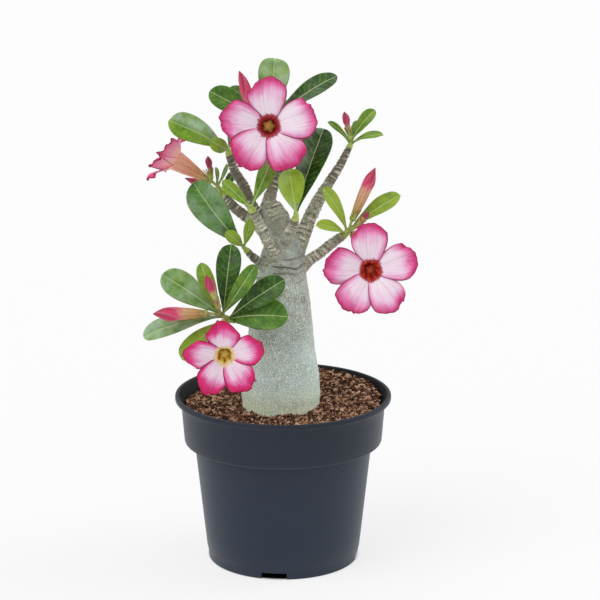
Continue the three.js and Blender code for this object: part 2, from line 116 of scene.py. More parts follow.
def tangentOf(line, t):
    low, high = clamp(t - 0.0005), clamp(t + 0.0005)
    return (line(high) - line(low)).normalized()


def lengthOf(line, steps=60):
    places = [line(i / steps) for i in range(steps + 1)]
    return sum((b - a).length for a, b in zip(places, places[1:]))


# the point of a line at t, and the two directions across it, kept steady by one reference
def crossFrame(line, t, reference):
    along = tangentOf(line, clamp(t))
    side = along.cross(reference).normalized()
    over = side.cross(along)
    centre = line(clamp(t))
    if t < 0 or t > 1:                                  # runs on straight past the ends
        centre = centre + along * (t - clamp(t)) * lengthOf(line, 12)
    return centre, side, over


# keeps three numbers, or one, at every point of a piece for its material to read
def setAttribute(piece, name, values, kind="FLOAT_VECTOR"):
    made = piece.data.attributes.new(name, kind, "POINT")
    field = "value" if kind == "FLOAT" else "vector"
    made.data.foreach_set(field, numpy.asarray(values, dtype=numpy.float32).ravel())


# a grid whose every point goes where place(u, v) says, in millimetres, with its "place" on the
# surface kept for the materials
def gridPiece(name, across, along, place):
    deselectAll()
    bpy.ops.mesh.primitive_grid_add(x_subdivisions=across, y_subdivisions=along, size=1)
    piece = bpy.context.object
    piece.name = piece.data.name = name
    marks = []
    for vertex in piece.data.vertices:
        u = round((vertex.co.x + 0.5) * across) / across
        v = round((vertex.co.y + 0.5) * along) / along
        point, mark = place(u, v)
        vertex.co = point * mm
        marks.append(mark)
    setAttribute(piece, "place", marks)
    return piece


# merges the points that meet, which closes the piece, and turns the faces outwards
def closeMesh(piece, threshold=2e-6):
    bpy.context.view_layer.objects.active = piece
    piece.select_set(True)
    bpy.ops.object.mode_set(mode="EDIT")
    bpy.ops.mesh.select_all(action="SELECT")
    bpy.ops.mesh.remove_doubles(threshold=threshold)
    bpy.ops.mesh.select_all(action="SELECT")
    bpy.ops.mesh.normals_make_consistent(inside=False)
    bpy.ops.object.mode_set(mode="OBJECT")
    bpy.ops.object.shade_smooth()


# a round piece: rings of [radius, share of the line], with radius swollen by swell(t, angle), and
# marked as the inner wall from the ring called inside on
def roundPiece(name, line, rings, sides, reference, swell=None, inside=None):
    frames = {t: crossFrame(line, t, reference) for _, t in rings}

    def place(u, v):
        ring = round(v * (len(rings) - 1))
        radius, t = rings[ring]
        angle = 2 * math.pi * (u % 1)
        if swell:
            radius *= 1 + swell(t, angle)
        centre, side, over = frames[t]
        point = centre + side * (math.cos(angle) * radius) + over * (math.sin(angle) * radius)
        return point, (u, t, 1.0 if inside is not None and ring >= inside else 0.0)
    piece = gridPiece(name, sides, len(rings) - 1, place)
    closeMesh(piece)
    return piece


# a thin closed blade: surface(x, t) gives its middle, x runs from -1 to 1 across, and
# thickness(x, t) gives half its thickness above and below
def bladePiece(name, across, along, surface, thickness, spread=1.0):
    def place(u, v):
        upper = u <= 0.5
        x = 4 * u - 1 if upper else 3 - 4 * u
        x = math.sin(x * math.pi / 2) * 0.35 + x * 0.65          # closer rows near the edges
        t = 1 - (1 - v) ** spread
        step = 0.01
        sideways = surface(min(x + step, 1), t) - surface(max(x - step, -1), t)
        onwards = surface(x, min(t + step, 1)) - surface(x, max(t - step, 0))
        normal = sideways.cross(onwards)
        normal = normal.normalized() if normal.length > 1e-9 else Vector((0, 0, 1))
        above, below = thickness(x, t)
        blunt = max(0.0, 1 - x ** 6) ** 0.5
        point = surface(x, t) + normal * (above if upper else -below) * blunt
        return point, (x, t, 0.0 if upper else 1.0)
    piece = gridPiece(name, 2 * across, along, place)
    closeMesh(piece)
    return piece


def applyModifier(piece, kind, **settings):
    deselectAll()
    bpy.context.view_layer.objects.active = piece
    piece.select_set(True)
    made = piece.modifiers.new(kind.title(), kind)
    for key, value in settings.items():
        setattr(made, key, value)
    bpy.ops.object.modifier_apply(modifier=made.name)


def joinPieces(name, parts):
    deselectAll()
    for part in parts:
        part.select_set(True)
    bpy.context.view_layer.objects.active = parts[0]
    if len(parts) > 1:
        bpy.ops.object.join()
    piece = bpy.context.object
    piece.name = piece.data.name = name
    return piece


# gives a piece its finish and its body, and hides the solids that it stands for; its slot is not used
def finishPiece(piece, material, slot, *nodes):
    piece.data.materials.clear()
    piece.data.materials.append(material)
    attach(piece, "root")
    if nodes:
        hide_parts(*nodes)
    return piece


def startMaterial(name, roughness, ior):
    material = bpy.data.materials.new(name)
    material.use_nodes = True
    material.cycles.emission_sampling = "NONE"                  # a faint glow isn't a lamp
    shader = material.node_tree.nodes["Principled BSDF"]
    shader.inputs["Roughness"].default_value = roughness
    shader.inputs["IOR"].default_value = ior
    return material, partial(addNode, material.node_tree), shader


# adds a node with its settings; its inputs, by place or by name, are numbers, colours or sockets to link
def addNode(tree, kind, inputs, out=0, stops=None, **settings):
    made = tree.nodes.new("ShaderNode" + kind)
    for key, value in settings.items():
        setattr(made, key, value)
    for place, value in (inputs.items() if isinstance(inputs, dict) else enumerate(inputs)):
        if isinstance(value, bpy.types.NodeSocket):
            tree.links.new(value, made.inputs[place])
        else:
            made.inputs[place].default_value = toLinear(value) if isinstance(value, str) else value
    if stops:
        elements = made.color_ramp.elements
        while len(elements) < len(stops):
            elements.new(0.5)
        for element, (spot, colour) in zip(elements, stops):
            element.position = spot
            element.color = toLinear(colour)
    return made.outputs[out]


def feedShader(shader, inputs):
    for name, socket in inputs.items():
        shader.id_data.links.new(socket, shader.inputs[name])


# the camera stands where the photograph was taken from, over a plain pale floor in soft light
cameraView = {"place": (11.72, -1546.77, 593.89), "down": 14.82, "lens": 139.64, "film": 36, "sees": 60}
floorLook = {"size": 14.0, "paint": "#7c7c7c", "paintedShadow": "#151516", "glow": "#fafafb", "glowStrength": 0.775,
             "darkWithin": 49.8, "litBeyond": 53.5}
worldLook = {"colour": "#fffefc", "strength": 0.5}
lights = [
    # name, the way it comes from, how wide its soft source looks in degrees, strength
    ("keySoftbox", (-0.75, -0.6, 1.2), 45, 1.3),
    ("rimSoftbox", (1.0, 0.2, 0.75), 40, 0.95),
    ("topSoftbox", (-0.1, 0.5, 1.6), 60, 0.45),
]


def aimAt(place, target):
    return (Vector(target) - Vector(place)).to_track_quat("-Z", "Y").to_euler()


# matt paint on a table top lit from below, with a painted shadow where the pot stands: darker paint and no glow
# there
def paintedFloor():
    look = floorLook
    material, add, shader = startMaterial("paintedFloorMatte", 0.9, 1.45)
    edge = [look["darkWithin"] * mm, look["litBeyond"] * mm]
    fromPot = add("VectorMath", [add("TexCoord", [], out="Object")], out=1, operation="LENGTH")
    # the glow fades out and the paint darkens within the pot's foot: a painted shadow under the pot
    glow = add("MapRange", [fromPot, *edge, 0, look["glowStrength"]])
    lit = add("MapRange", [fromPot, *edge])
    paint = add("Mix", {0: lit, 6: look["paintedShadow"], 7: look["paint"]}, out=2, data_type="RGBA")
    feedShader(shader, {"Base Color": paint, "Emission Strength": glow})
    shader.inputs["Emission Color"].default_value = toLinear(look["glow"])
    shader.inputs["Specular IOR Level"].default_value = 0.1
    return material


def makeStudio():
    deselectAll()
    bpy.ops.object.camera_add(location=[c * mm for c in cameraView["place"]],
                              rotation=(math.radians(90 - cameraView["down"]), 0, 0))
    camera = bpy.context.object
    camera.data.lens = cameraView["lens"]
    camera.data.sensor_width = cameraView["film"]
    camera.data.clip_end = cameraView["sees"]
    bpy.context.scene.camera = camera
    bpy.ops.mesh.primitive_plane_add(size=floorLook["size"])
    floor = bpy.context.object
    floor.name = "floor"
    floor.data.materials.append(paintedFloor())
    for name, place, width, strength in lights:
        bpy.ops.object.light_add(type="SUN", location=place, rotation=aimAt(place, (0, 0, 0)))
        lamp = bpy.context.object
        lamp.name = name
        lamp.data.angle = math.radians(width)
        lamp.data.energy = strength
    world = bpy.data.worlds.new("studioWhite")
    bpy.context.scene.world = world
    world.use_nodes = True
    sky = world.node_tree.nodes["Background"]
    sky.inputs["Color"].default_value = toLinear(worldLook["colour"])
    sky.inputs["Strength"].default_value = worldLook["strength"]
    bpy.context.scene.view_settings.view_transform = "Standard"
    print("studio ready")


makeStudio()

potSizes = {
    "height": 118, "rimRadius": 75, "footRadius": 52.5, "wall": 2, "collarBottom": 85.4,
    "collarRadius": 68.8, "collarTopRadius": 70.9, "bodyTop": 83, "bodyTopRadius": 61.7,
    "lipHeight": 4, "footWidth": 3, "floorUnder": 5, "floor": 2.2, "floorMiddle": 30, "stepHeight": 7.4,
    "stepOut": 1.1, "notchWidth": 17.5, "notchHeight": 4.6, "notchTurn": -6.7, "drainRadius": 4.5,
    "drainAt": 41, "sides": 144,
}


# the pot's outline as [radius, height]: up the outside to the rim, and down the inside to the floor
def potRings():
    p = potSizes
    foot, step, wall = p["footRadius"], p["footRadius"] + p["stepOut"], p["wall"]
    body, collar, collarTop, rim = p["bodyTopRadius"], p["collarRadius"], p["collarTopRadius"], p["rimRadius"]
    stepHeight, bodyTop, ledge, top = p["stepHeight"], p["bodyTop"], p["collarBottom"], p["height"]
    lip, floorTop = top - p["lipHeight"], p["floorUnder"] + p["floor"]
    slope = (body - step) / (bodyTop - stepHeight)
    outer = [(foot, 0.4), (foot + 0.62, stepHeight - 0.5), (step - 0.25, stepHeight), (step, stepHeight + 0.5)]
    outer += [(step + slope * (z - stepHeight), z) for z in range(20, 73, 13)]
    outer += [(body, bodyTop), (body + 0.7, bodyTop + 0.6), (body + 1.5, bodyTop + 0.8),
              (body + 3.3, bodyTop + 1.2), (collar - 0.9, ledge - 0.6), (collar - 0.25, ledge - 0.2),
              (collar, ledge + 0.5)]
    outer += [(mix(collar, collarTop, s), mix(ledge + 0.5, lip - 0.6, s)) for s in (0.25, 0.5, 0.75, 1)]
    outer += [(collarTop + 0.3, lip - 0.1), (rim - 1.6, lip + 0.1), (rim - 0.5, lip + 0.3), (rim, lip + 0.9),
              (rim, top - 1), (rim - 0.3, top - 0.35), (rim - 1, top), (rim - 2.1, top),
              (rim - 2.9, top - 0.35), (rim - 3.2, top - 1)]
    inner = [(collarTop - wall, lip - 1.5), (collar - 1.9, ledge + 10.6), (collar - wall, ledge + 2.2),
             (collar - 2.8, ledge + 0.8), (body - wall, bodyTop + 1.2), (step - wall, floorTop + 1.4),
             (step - 3, floorTop + 0.2), (step - 4, floorTop), (p["floorMiddle"], floorTop)]
    return outer, inner


def cutFrom(piece, tool):
    applyModifier(piece, "BOOLEAN", object=tool, operation="DIFFERENCE", solver="EXACT")
    bpy.data.objects.remove(tool, do_unlink=True)


def makePot(material):
    p = potSizes
    outer, inner = potRings()
    foot, low = p["footRadius"] - p["footWidth"], p["floorUnder"]
    rings = [(p["floorMiddle"], low), (foot - 0.5, low), (foot - 0.1, low - 0.5), (foot, 0.4), (foot + 0.4, 0),
             (p["footRadius"] - 0.4, 0), *outer, *inner]
    deselectAll()
    bpy.ops.mesh.primitive_circle_add(vertices=p["sides"], radius=rings[0][0] * mm, fill_type="NGON",
                                      location=(0, 0, rings[0][1] * mm))
    piece = bpy.context.object
    bpy.ops.object.transform_apply()
    bpy.ops.object.mode_set(mode="EDIT")
    bpy.ops.mesh.select_mode(type="EDGE")
    bpy.ops.mesh.select_all(action="SELECT")
    for (r0, z0), (r1, z1) in zip(rings, rings[1:]):
        bpy.ops.mesh.extrude_edges_move(TRANSFORM_OT_translate={"value": (0, 0, (z1 - z0) * mm)})
        bpy.ops.transform.resize(value=(r1 / r0, r1 / r0, 1), center_override=(0, 0, z1 * mm))
    bpy.ops.mesh.edge_face_add()
    bpy.ops.mesh.select_all(action="SELECT")
    bpy.ops.mesh.normals_make_consistent(inside=False)
    bpy.ops.object.mode_set(mode="OBJECT")
    for i in range(4):
        turn = math.radians(p["notchTurn"] + 90 * i)
        outwards = Vector((math.sin(turn), -math.cos(turn), 0))
        deselectAll()
        bpy.ops.mesh.primitive_cube_add(size=1, rotation=(0, 0, turn),
                                        location=outwards * p["footRadius"] * mm,
                                        scale=(p["notchWidth"] * mm, 0.02, 2 * p["notchHeight"] * mm))
        notch = bpy.context.object
        applyModifier(notch, "BEVEL", width=0.5 * mm, segments=3)
        bpy.ops.mesh.primitive_cylinder_add(vertices=32, radius=p["drainRadius"] * mm, depth=0.012,
                                            location=outwards * p["drainAt"] * mm + Vector((0, 0, 0.005)))
        drain = bpy.context.object
        cutFrom(piece, notch)
        cutFrom(piece, drain)
    deselectAll()
    piece.select_set(True)
    bpy.context.view_layer.objects.active = piece
    bpy.ops.object.shade_smooth_by_angle(angle=math.radians(32))
    piece.name = piece.data.name = "nurseryPot"
    heights, radii = zip(*sorted((z, r) for r, z in outer))
    inside = [float(v.co.z / mm > p["floorUnder"] + 0.5 and v.co.to_2d().length / mm
                    < numpy.interp(v.co.z / mm, heights, radii) - 1.2) for v in piece.data.vertices]
    setAttribute(piece, "inside", inside, "FLOAT")
    return finishPiece(piece, material, "pot_plastic", "pot")


# injection-moulded polypropylene, satin, slate grey: an even skin with a faint cloudiness
# from the mould and a fine moulded grain, duller inside, with painted shade on the inside wall
# and the collar, and a painted highlight along the ledge
def mouldedPolypropylene():
    look = {"outside": "#222b3b", "cloud": "#283242", "inside": "#101114", "collar": "#1a212c",
            "ledge": "#4d5666", "grainMm": 0.55, "cloudMm": 60}
    material, add, shader = startMaterial("mouldedPolypropylene", 0.42, 1.49)
    place = add("TexCoord", [], out="Object")
    cloud = add("TexNoise", {"Vector": place, "Scale": 1 / (look["cloudMm"] * mm), "Detail": 3})
    tone = add("ValToRGB", [cloud], stops=[(0.3, look["outside"]), (0.75, look["cloud"])])
    height = add("SeparateXYZ", [place], out=2)
    ledgeHeight = potSizes["collarBottom"]
    # the collar above the ledge is painted darker: painted shade
    collar = add("MapRange", [height, (ledgeHeight - 0.9) * mm, (ledgeHeight - 0.1) * mm, 0, 0.55])
    # a light band along the ledge under the collar: a painted highlight
    fromLedge = add("Math", [add("Math", [height, -(ledgeHeight + 0.2) * mm])], operation="ABSOLUTE")
    ledge = add("MapRange", [fromLedge, 0.5 * mm, 0, 0, 0.5])
    # the inside wall is painted darker: painted shade inside the pot
    inside = add("Attribute", [], out="Fac", attribute_name="inside")
    for share, colour in ((collar, look["collar"]), (ledge, look["ledge"]), (inside, look["inside"])):
        tone = add("Mix", {0: share, 6: tone, 7: colour}, out=2, data_type="RGBA")
    gloss = add("MapRange", [cloud, 0, 1, 0.36, 0.46])
    gloss = add("Math", [inside, 0.25, gloss], operation="MULTIPLY_ADD")
    grain = add("TexNoise", {"Vector": place, "Scale": 1 / (look["grainMm"] * mm)})
    bump = add("Bump", {"Height": grain, "Strength": 0.12, "Distance": 0.0002})
    feedShader(shader, {"Base Color": tone, "Roughness": gloss, "Normal": bump})
    shader.inputs["Specular IOR Level"].default_value = 0.3
    return material


makePot(mouldedPolypropylene())
print("pot ready")

soilSizes = {
    "top": 108.4, "low": 7.5, "gap": 2.3, "holeRadius": 21, "holeFloor": 80.5, "centreX": -1.5,
    "trunkRadius": 27, "hollow": 2.6, "hollowReach": 9, "backRise": 6.3, "chips": 24000, "perPiece": 8000,
    "chipSmall": 0.75, "chipLarge": 2.2, "chipsWithin": 67.4, "chipsBeyond": 22.8,
}
chipShapes = [(1.2, 0.9, 0.75), (1.5, 0.75, 0.45), (1.1, 0.95, 0.6), (1.9, 0.55, 0.4), (1.0, 0.9, 0.85),
              (1.6, 0.9, 0.35)]


# the height of the soil: lumpy, a little hollow round the trunk and banked up at the back right
def soilHeight(x, y):
    s = soilSizes
    fromTrunk = max(math.hypot(x - s["centreX"], y) - s["trunkRadius"], 0)
    hollow = s["hollow"] * math.exp(-fromTrunk / s["hollowReach"])
    hollow *= 0.6 + 0.8 * noise.noise(Vector((x, y, 3)) * 0.07)
    lumps = 1.5 * noise.noise(Vector((x, y, 0)) * 0.09) + 0.7 * noise.noise(Vector((x, y, 9)) * 0.3)
    banked = s["backRise"] * ease(15, 62, 0.55 * x + 0.83 * y) * ease(35, 66, math.hypot(x, y))
    return s["top"] - hollow + lumps + banked


def makeSoilBed(material):
    s, p = soilSizes, potSizes
    low, gap, hole, floor = s["low"], s["gap"], s["holeRadius"], s["holeFloor"]
    stepRadius = p["footRadius"] + p["stepOut"] - gap
    wall = [(0.5, low), (stepRadius - 2, low), (stepRadius, low + 1.5),
            (p["bodyTopRadius"] - gap, p["bodyTop"] + 1.4), (p["collarRadius"] - gap, p["collarBottom"] + 2.5),
            (68.1, 107.6)]
    top = [(r, None) for r in numpy.linspace(67.6, hole + 0.4, 26)]
    rings = wall + top + [(hole, 104), (hole - 0.4, floor + 0.5), (0.5, floor)]

    def place(u, v):
        radius, height = rings[round(v * (len(rings) - 1))]
        angle = 2 * math.pi * u
        x, y = radius * math.cos(angle), radius * math.sin(angle)
        return Vector((x, y, soilHeight(x, y) if height is None else height)), (0, 0, 0)
    piece = gridPiece("soilBed", 120, len(rings) - 1, place)
    closeMesh(piece)
    return finishPiece(piece, material, "soil_mulch", "soil")


# six rough crumbs of bark, copied over the bed with their own turn and size
def makeSoilChips(material):
    s = soilSizes
    kinds = []
    for kind, shape in enumerate(chipShapes):
        deselectAll()
        bpy.ops.mesh.primitive_uv_sphere_add(segments=4, ring_count=3, radius=1)
        applyModifier(bpy.context.object, "TRIANGULATE")
        lump = bpy.context.object
        points = numpy.array([v.co for v in lump.data.vertices])
        rough = [1 + 0.7 * noise.noise(Vector(p) * 1.9 + Vector((kind * 7, 0, 0))) for p in points]
        points *= numpy.array(rough)[:, None] * numpy.array(shape)
        kinds.append((points, numpy.array([list(f.vertices) for f in lump.data.polygons])))
        bpy.data.objects.remove(lump, do_unlink=True)
    for batch in "ABC"[:s["chips"] // s["perPiece"]]:
        scatterChips("soilChips" + batch, kinds, s["perPiece"], material)


def scatterChips(name, kinds, chips, material):
    s = soilSizes
    spots, faces, tones = [], [], []
    count = 0
    for _ in range(chips):
        size = mix(s["chipLarge"], s["chipSmall"], rng.random() ** 0.4) * (1.4 if rng.random() < 0.03 else 1)
        while True:
            x, y = rng.uniform(-68, 68), rng.uniform(-68, 68)
            within = min(s["chipsWithin"], 69.6 - 1.9 * size)
            if math.hypot(x, y) < within and math.hypot(x - s["centreX"], y) > s["chipsBeyond"]:
                break
        lift = rng.random()
        height = soilHeight(x, y) + mix(-1.8, 2.6, lift)
        points, shape = kinds[rng.randrange(len(kinds))]
        turn = numpy.array(Vector((rng.gauss(0, 0.5), rng.gauss(0, 0.5), rng.gauss(0, 1))).normalized())
        angle = rng.uniform(0, 2 * math.pi)
        spun = (points * math.cos(angle) + numpy.cross(turn, points) * math.sin(angle)
                + numpy.outer(points @ turn, turn) * (1 - math.cos(angle)))
        spots.append((spun * size + numpy.array([x, y, height])) * mm)
        faces.append(shape + count)
        # crumbs sunk lower are darker and those lifted higher lighter: partly painted shade in the gaps between
        # crumbs
        tones.append(numpy.full(len(points), clamp(0.95 * rng.random() ** 1.6 + 0.42 * lift - 0.1)))
        count += len(points)
    mesh = bpy.data.meshes.new(name)
    mesh.from_pydata(numpy.concatenate(spots).tolist(), [], numpy.concatenate(faces).tolist())
    piece = bpy.data.objects.new(name, mesh)
    bpy.context.scene.collection.objects.link(piece)
    setAttribute(piece, "tone", numpy.concatenate(tones), "FLOAT")
    return finishPiece(piece, material, "soil_mulch", "soil")


# coir and shredded bark, darker low down, partly damp and partly painted shade in the gaps: each crumb has its
# own brown
def barkMulch(name, colours):
    material, add, shader = startMaterial(name, 0.95, 1.45)
    place = add("TexCoord", [], out="Object")
    tone = add("Attribute", [], out="Fac", attribute_name="tone")
    grain = add("TexNoise", {"Vector": place, "Scale": 1 / (mulchLook["grainMm"] * mm), "Detail": 3,
                             "Roughness": 0.7})
    varied = add("Math", [tone, 0.75, -0.135], operation="MULTIPLY_ADD")
    varied = add("Math", [grain, 0.5, varied], operation="MULTIPLY_ADD")
    colour = add("ValToRGB", [varied], stops=[(i / (len(colours) - 1), c) for i, c in enumerate(colours)])
    bump = add("Bump", {"Height": grain, "Strength": 0.6, "Distance": 0.0004})
    feedShader(shader, {"Base Color": colour, "Normal": bump})
    shader.inputs["Specular IOR Level"].default_value = 0.25
    return material


# the bed's near-black browns are partly damp coir and partly painted shade seen between the crumbs
mulchLook = {"bed": ["#1d120c", "#2a1b13", "#38261a"], "grainMm": 1.1,
             "chips": ["#0b0603", "#24150e", "#4b3023", "#7d5943", "#b98e72", "#eed0b6"]}
makeSoilBed(barkMulch("dampCoirBedGapShade", mulchLook["bed"]))
makeSoilChips(barkMulch("barkChipMulch", mulchLook["chips"]))
print("soil ready")

trunkShape = {
    "axis": [[-2, 0, 80.3], [-2, 0, 95], [-2, 0, 108], [-1.9, 0, 119], [-1.6, 0, 132], [-1.4, 0, 150],
             [-1.1, 0, 168], [-0.8, 0, 185], [-0.2, 0, 206], [0, 1, 217], [0, 3, 229]],
    "radii": [23.2, 24.4, 26.1, 27.4, 26.4, 23.6, 21.9, 20, 16.1, 15.2, 10.5],
}
# how many scars each branch carries, from where on it is dark, and how far the trunk's skin runs up into it
branches = {
    "main": {"route": [[0, 4, 214], [-2.6, 9.5, 230], [-5.8, 12, 240], [-8.6, 13.5, 249.5]],
             "radii": [10.5, 10.1, 10.3, 6.6], "scars": 5, "darkFrom": 0.85, "bare": 40},
    "front": {"route": [[-4.5, -5, 208], [-7, -13, 223.5], [-11, -17.5, 232.5], [-15, -22, 242.5],
                        [-20, -26, 253]],
              "radii": [5.6, 4.7, 4, 3.4, 2.9], "scars": 8, "darkFrom": 0.8, "bare": 12},
    "upperLeft": {"route": [[-3, 7, 222], [-14.5, 10, 238.5], [-22, 8, 251], [-26, 4, 263], [-32.5, 0, 275],
                            [-36, -4, 287.5]],
                  "radii": [5.4, 4.2, 3.9, 3.5, 3.1, 2.8], "scars": 12, "darkFrom": 0.05},
    "crown": {"route": [[-10.5, 14, 246], [-7.5, 15, 258.5], [-2.5, 15, 268], [-1.5, 14, 277], [-4, 12, 288.5],
                        [-7.5, 12, 299]],
              "radii": [5.6, 3.9, 3.2, 2.9, 2.7, 2.6], "scars": 9, "darkFrom": 0.0, "bare": 5},
    "middle": {"route": [[1.5, -5, 222], [3.5, -13, 233], [7, -17.5, 240.5], [8.5, -20, 246]],
               "radii": [4.2, 3.8, 3.4, 2.8], "scars": 4, "darkFrom": 0.6},
    "rightUpper": {"route": [[5, 2, 210], [12.5, 5, 226], [18, 9, 239.5], [24.5, 13, 252], [32.5, 16, 265],
                             [39, 18, 275], [45.5, 20, 287.5]],
                   "radii": [7.6, 5.6, 4.9, 4.4, 3.6, 3, 2.4], "scars": 14, "darkFrom": 0.5},
    "rightLower": {"route": [[7, -1, 201], [17, -3, 212.5], [25.5, -4, 219], [34, -4, 226], [41, -4, 231]],
                   "radii": [5.6, 4.1, 3.8, 3.5, 3.1], "scars": 8, "darkFrom": 0.8, "bare": 9},
    "farLeft": {"route": [[-6, 7, 222], [-17, 14, 233.5], [-25.5, 19, 239], [-34, 23, 245], [-40, 26, 251.5]],
                "radii": [5, 4.2, 3.9, 3.6, 3.1], "scars": 7, "darkFrom": 0.3},
    "lowLeft": {"route": [[-8, -3, 200], [-16, -8, 213], [-20.5, -10.5, 218], [-24, -12, 222]],
                "radii": [4.2, 3.2, 2.8, 2.4], "scars": 3, "darkFrom": 0.2},
    "side": {"route": [[-12, -8, 169], [-21, -18, 175.5], [-28, -26, 178], [-34.5, -32, 179.5]],
             "radii": [4, 3.2, 3, 2.6], "scars": 4, "darkFrom": 0.3},
}
cutTwig = {"route": [[-11, -9, 200], [-17.6, -14.5, 204]], "radii": [2, 1.5, 1.4]}
barkSizes = {
    "voxel": 0.7, "trunkSides": 96, "trunkSteps": 120, "branchSides": 24, "branchSteps": 70,
    "bare": 17, "ringsPerScar": 1.75, "ringPower": 3.6, "ringDepth": 0.5,
    "scarsPerRing": 2, "scarTurns": 997, "scarHalfWidth": 2.7, "scarHalfHeight": 0.6, "scarLift": 0.45,
    "creases": [(211, 0.8), (206.5, 0.45), (217.5, 0.5), (200.5, 0.3)], "creaseHalfHeight": 0.55,
    "creaseDepth": 0.4, "knot": [14.6, -13.4, 188.5], "knotRadius": 2.3,
}
upright = Vector((0, 1, 0.02))


def limbRings(radii, steps, taper=0.7):
    rings = [(0.01, 0)] + [(between(radii, i / steps), i / steps) for i in range(steps + 1)]
    last = rings[-1][0]
    return rings[:-1] + [(last * 0.94, 0.994), (last * taper, 1), (0.01, 1)]


# which branch a point of the bark belongs to, how far along it and how proud of it, from the middle lines
def limbFinder(limbs, steps=400):
    places = []
    for name, (line, radii) in limbs.items():
        for i in range(steps + 1):
            places.append((line(i / steps), name, i / steps, between(radii, i / steps)))
    tree = kdtree.KDTree(len(places))
    for i, (point, *_) in enumerate(places):
        tree.insert(point, i)
    tree.balance()

    def find(point):
        nearest = {}
        for _, i, distance in tree.find_n(point, 24):
            if distance < nearest.get(places[i][1], (1e9, 0))[0]:
                nearest[places[i][1]] = (distance, i)
        distance, i = min(nearest.values(), key=lambda found: abs(found[0] - places[found[1]][3]))
        centre, name, t, radius = places[i]
        return name, t, distance - radius, radius, centre
    return find


def makeCaudex(material):
    k = barkSizes

    def trunkSwell(t, angle):
        turned = math.atan2(math.cos(angle), math.sin(angle))
        return 0.012 * math.sin(3 * turned + 4 * t) + 0.008 * math.sin(5 * turned - 9 * t)
    rings = limbRings(trunkShape["radii"], k["trunkSteps"], 0.8)
    parts = [roundPiece("limb", curveThrough(trunkShape["axis"]), rings, k["trunkSides"], upright, trunkSwell)]
    limbs = {name: (curveThrough(branch["route"]), branch["radii"]) for name, branch in branches.items()}
    for line, radii in limbs.values():
        parts.append(roundPiece("limb", line, limbRings(radii, k["branchSteps"]), k["branchSides"], upright))
    parts.append(roundPiece("limb", straight(*cutTwig["route"]), limbRings(cutTwig["radii"], 8), 12, upright))
    piece = joinPieces("caudexBark", parts)
    applyModifier(piece, "REMESH", mode="VOXEL", voxel_size=k["voxel"] * mm, adaptivity=0)
    applyModifier(piece, "SMOOTH", factor=0.5, iterations=4)
    deselectAll()
    bpy.context.view_layer.objects.active = piece
    piece.select_set(True)
    bpy.ops.object.shade_smooth()
    dressBark(piece, limbs)
    return finishPiece(piece, material, "bark", "caudex")


# how deep in a dark ring, and how high on a leaf scar, a point across a branch's middle line lies
def ringAndScar(name, point, across, radius, away, length, scarTurns):
    k = barkSizes
    wobble = noise.noise(point * 0.11)
    angle = math.atan2(across.dot(Vector((0.3, 1, 0.2))), across.dot(Vector((1, -0.3, 0.1))))
    step = length / (branches[name]["scars"] * k["ringsPerScar"])
    place = away / step + 0.1 * math.sin(angle * 2 + 2 * wobble) + 0.25 * noise.noise(point * 0.16)
    place += 0.9 * noise.noise(Vector((0.09 * away, 3 * len(name), 0)))               # unevenly spaced
    grown = ease(5, 17, away)                                 # smoother where the branch leaves the trunk
    ring = (0.5 + 0.5 * math.cos(2 * math.pi * place)) ** k["ringPower"] * mix(0.35, 1, grown)
    broken = math.sin(angle + 3 * wobble + 1.7 * math.floor(place + 0.5))
    ring *= clamp(0.62 + 0.3 * broken + 0.9 * noise.noise(point * 0.3))
    scar = 0.0
    for count in range(math.floor(place) - 1, math.floor(place) + 2):
        for i in range(k["scarsPerRing"]):
            turned = scarTurns[(count * k["scarsPerRing"] + i + len(name) * 50) % len(scarTurns)]
            apart = (angle - turned + math.pi) % (2 * math.pi) - math.pi
            wide = apart * radius / k["scarHalfWidth"]
            high = (place - count - 0.34 + 0.1 * apart * apart) * step / k["scarHalfHeight"]
            scar = max(scar, math.exp(-(wide * wide + high * high) ** 2) * mix(0.3, 1, grown))
    return ring, scar


# the folds in the skin of the neck, and the round eye that a lost twig left
def creaseAt(point, branchness):
    k = barkSizes
    wobble = noise.noise(point * 0.11)
    crease = 0.0
    for level, depth in k["creases"]:
        over = (point.z - level - 2.6 * wobble - 0.05 * point.x) / k["creaseHalfHeight"]
        crease = max(crease, 2 * depth * math.exp(-over * over))
    crease *= (1 - branchness) * ease(-0.5, 0.4, noise.noise(point * 0.13 + Vector((5, 0, 0))) + 0.2)
    fromKnot = (point - Vector(k["knot"])).length * (1 + 0.25 * wobble)
    return max(crease, 0.8 * math.exp(-((fromKnot - k["knotRadius"]) / 0.5) ** 2))


# pushes rings, leaf scars and creases into the bark, and keeps where each point lies for its colours
def dressBark(piece, limbs):
    k = barkSizes
    find = limbFinder(limbs)
    lengths = {name: lengthOf(line) for name, (line, _) in limbs.items()}
    scarTurns = [rng.uniform(0, 2 * math.pi) for _ in range(k["scarTurns"])]
    skin, marks = [], []
    normals = [v.normal.copy() for v in piece.data.vertices]
    for vertex, normal in zip(piece.data.vertices, normals):
        point = vertex.co / mm
        name, t, proud, radius, centre = find(point)
        branchness = 0.0 if point.z < 150 else 1 - ease(0.2, 1.6, proud)
        away = t * lengths[name]
        bare = branches[name].get("bare", k["bare"])
        wood = mix(0.15, 1, ease(0.2 * bare, bare, away + 0.3 * bare * noise.noise(point * 0.11)))
        crease = creaseAt(point, branchness)
        ring, scar, dark = 0.0, 0.0, 0.0
        if branchness > 0:
            ring, scar = ringAndScar(name, point, point - centre, radius, away, lengths[name], scarTurns)
            start = branches[name]["darkFrom"]
            dark = ease(start, start + 0.3, t)
            relief = k["scarLift"] * scar - k["ringDepth"] * ring + 0.25 * noise.noise(point * 0.6)
            lift = branchness * relief
        else:
            lift = 0.1 * noise.noise(point * 0.25) + 0.06 * noise.noise(point * 0.8)
        vertex.co += normal * (lift - k["creaseDepth"] * crease) * mm
        skin.append((branchness * wood, scar * branchness, ring * branchness))
        marks.append((dark * branchness, crease, ease(196, 212, point.z)))
    setAttribute(piece, "skin", skin)
    setAttribute(piece, "marks", marks)
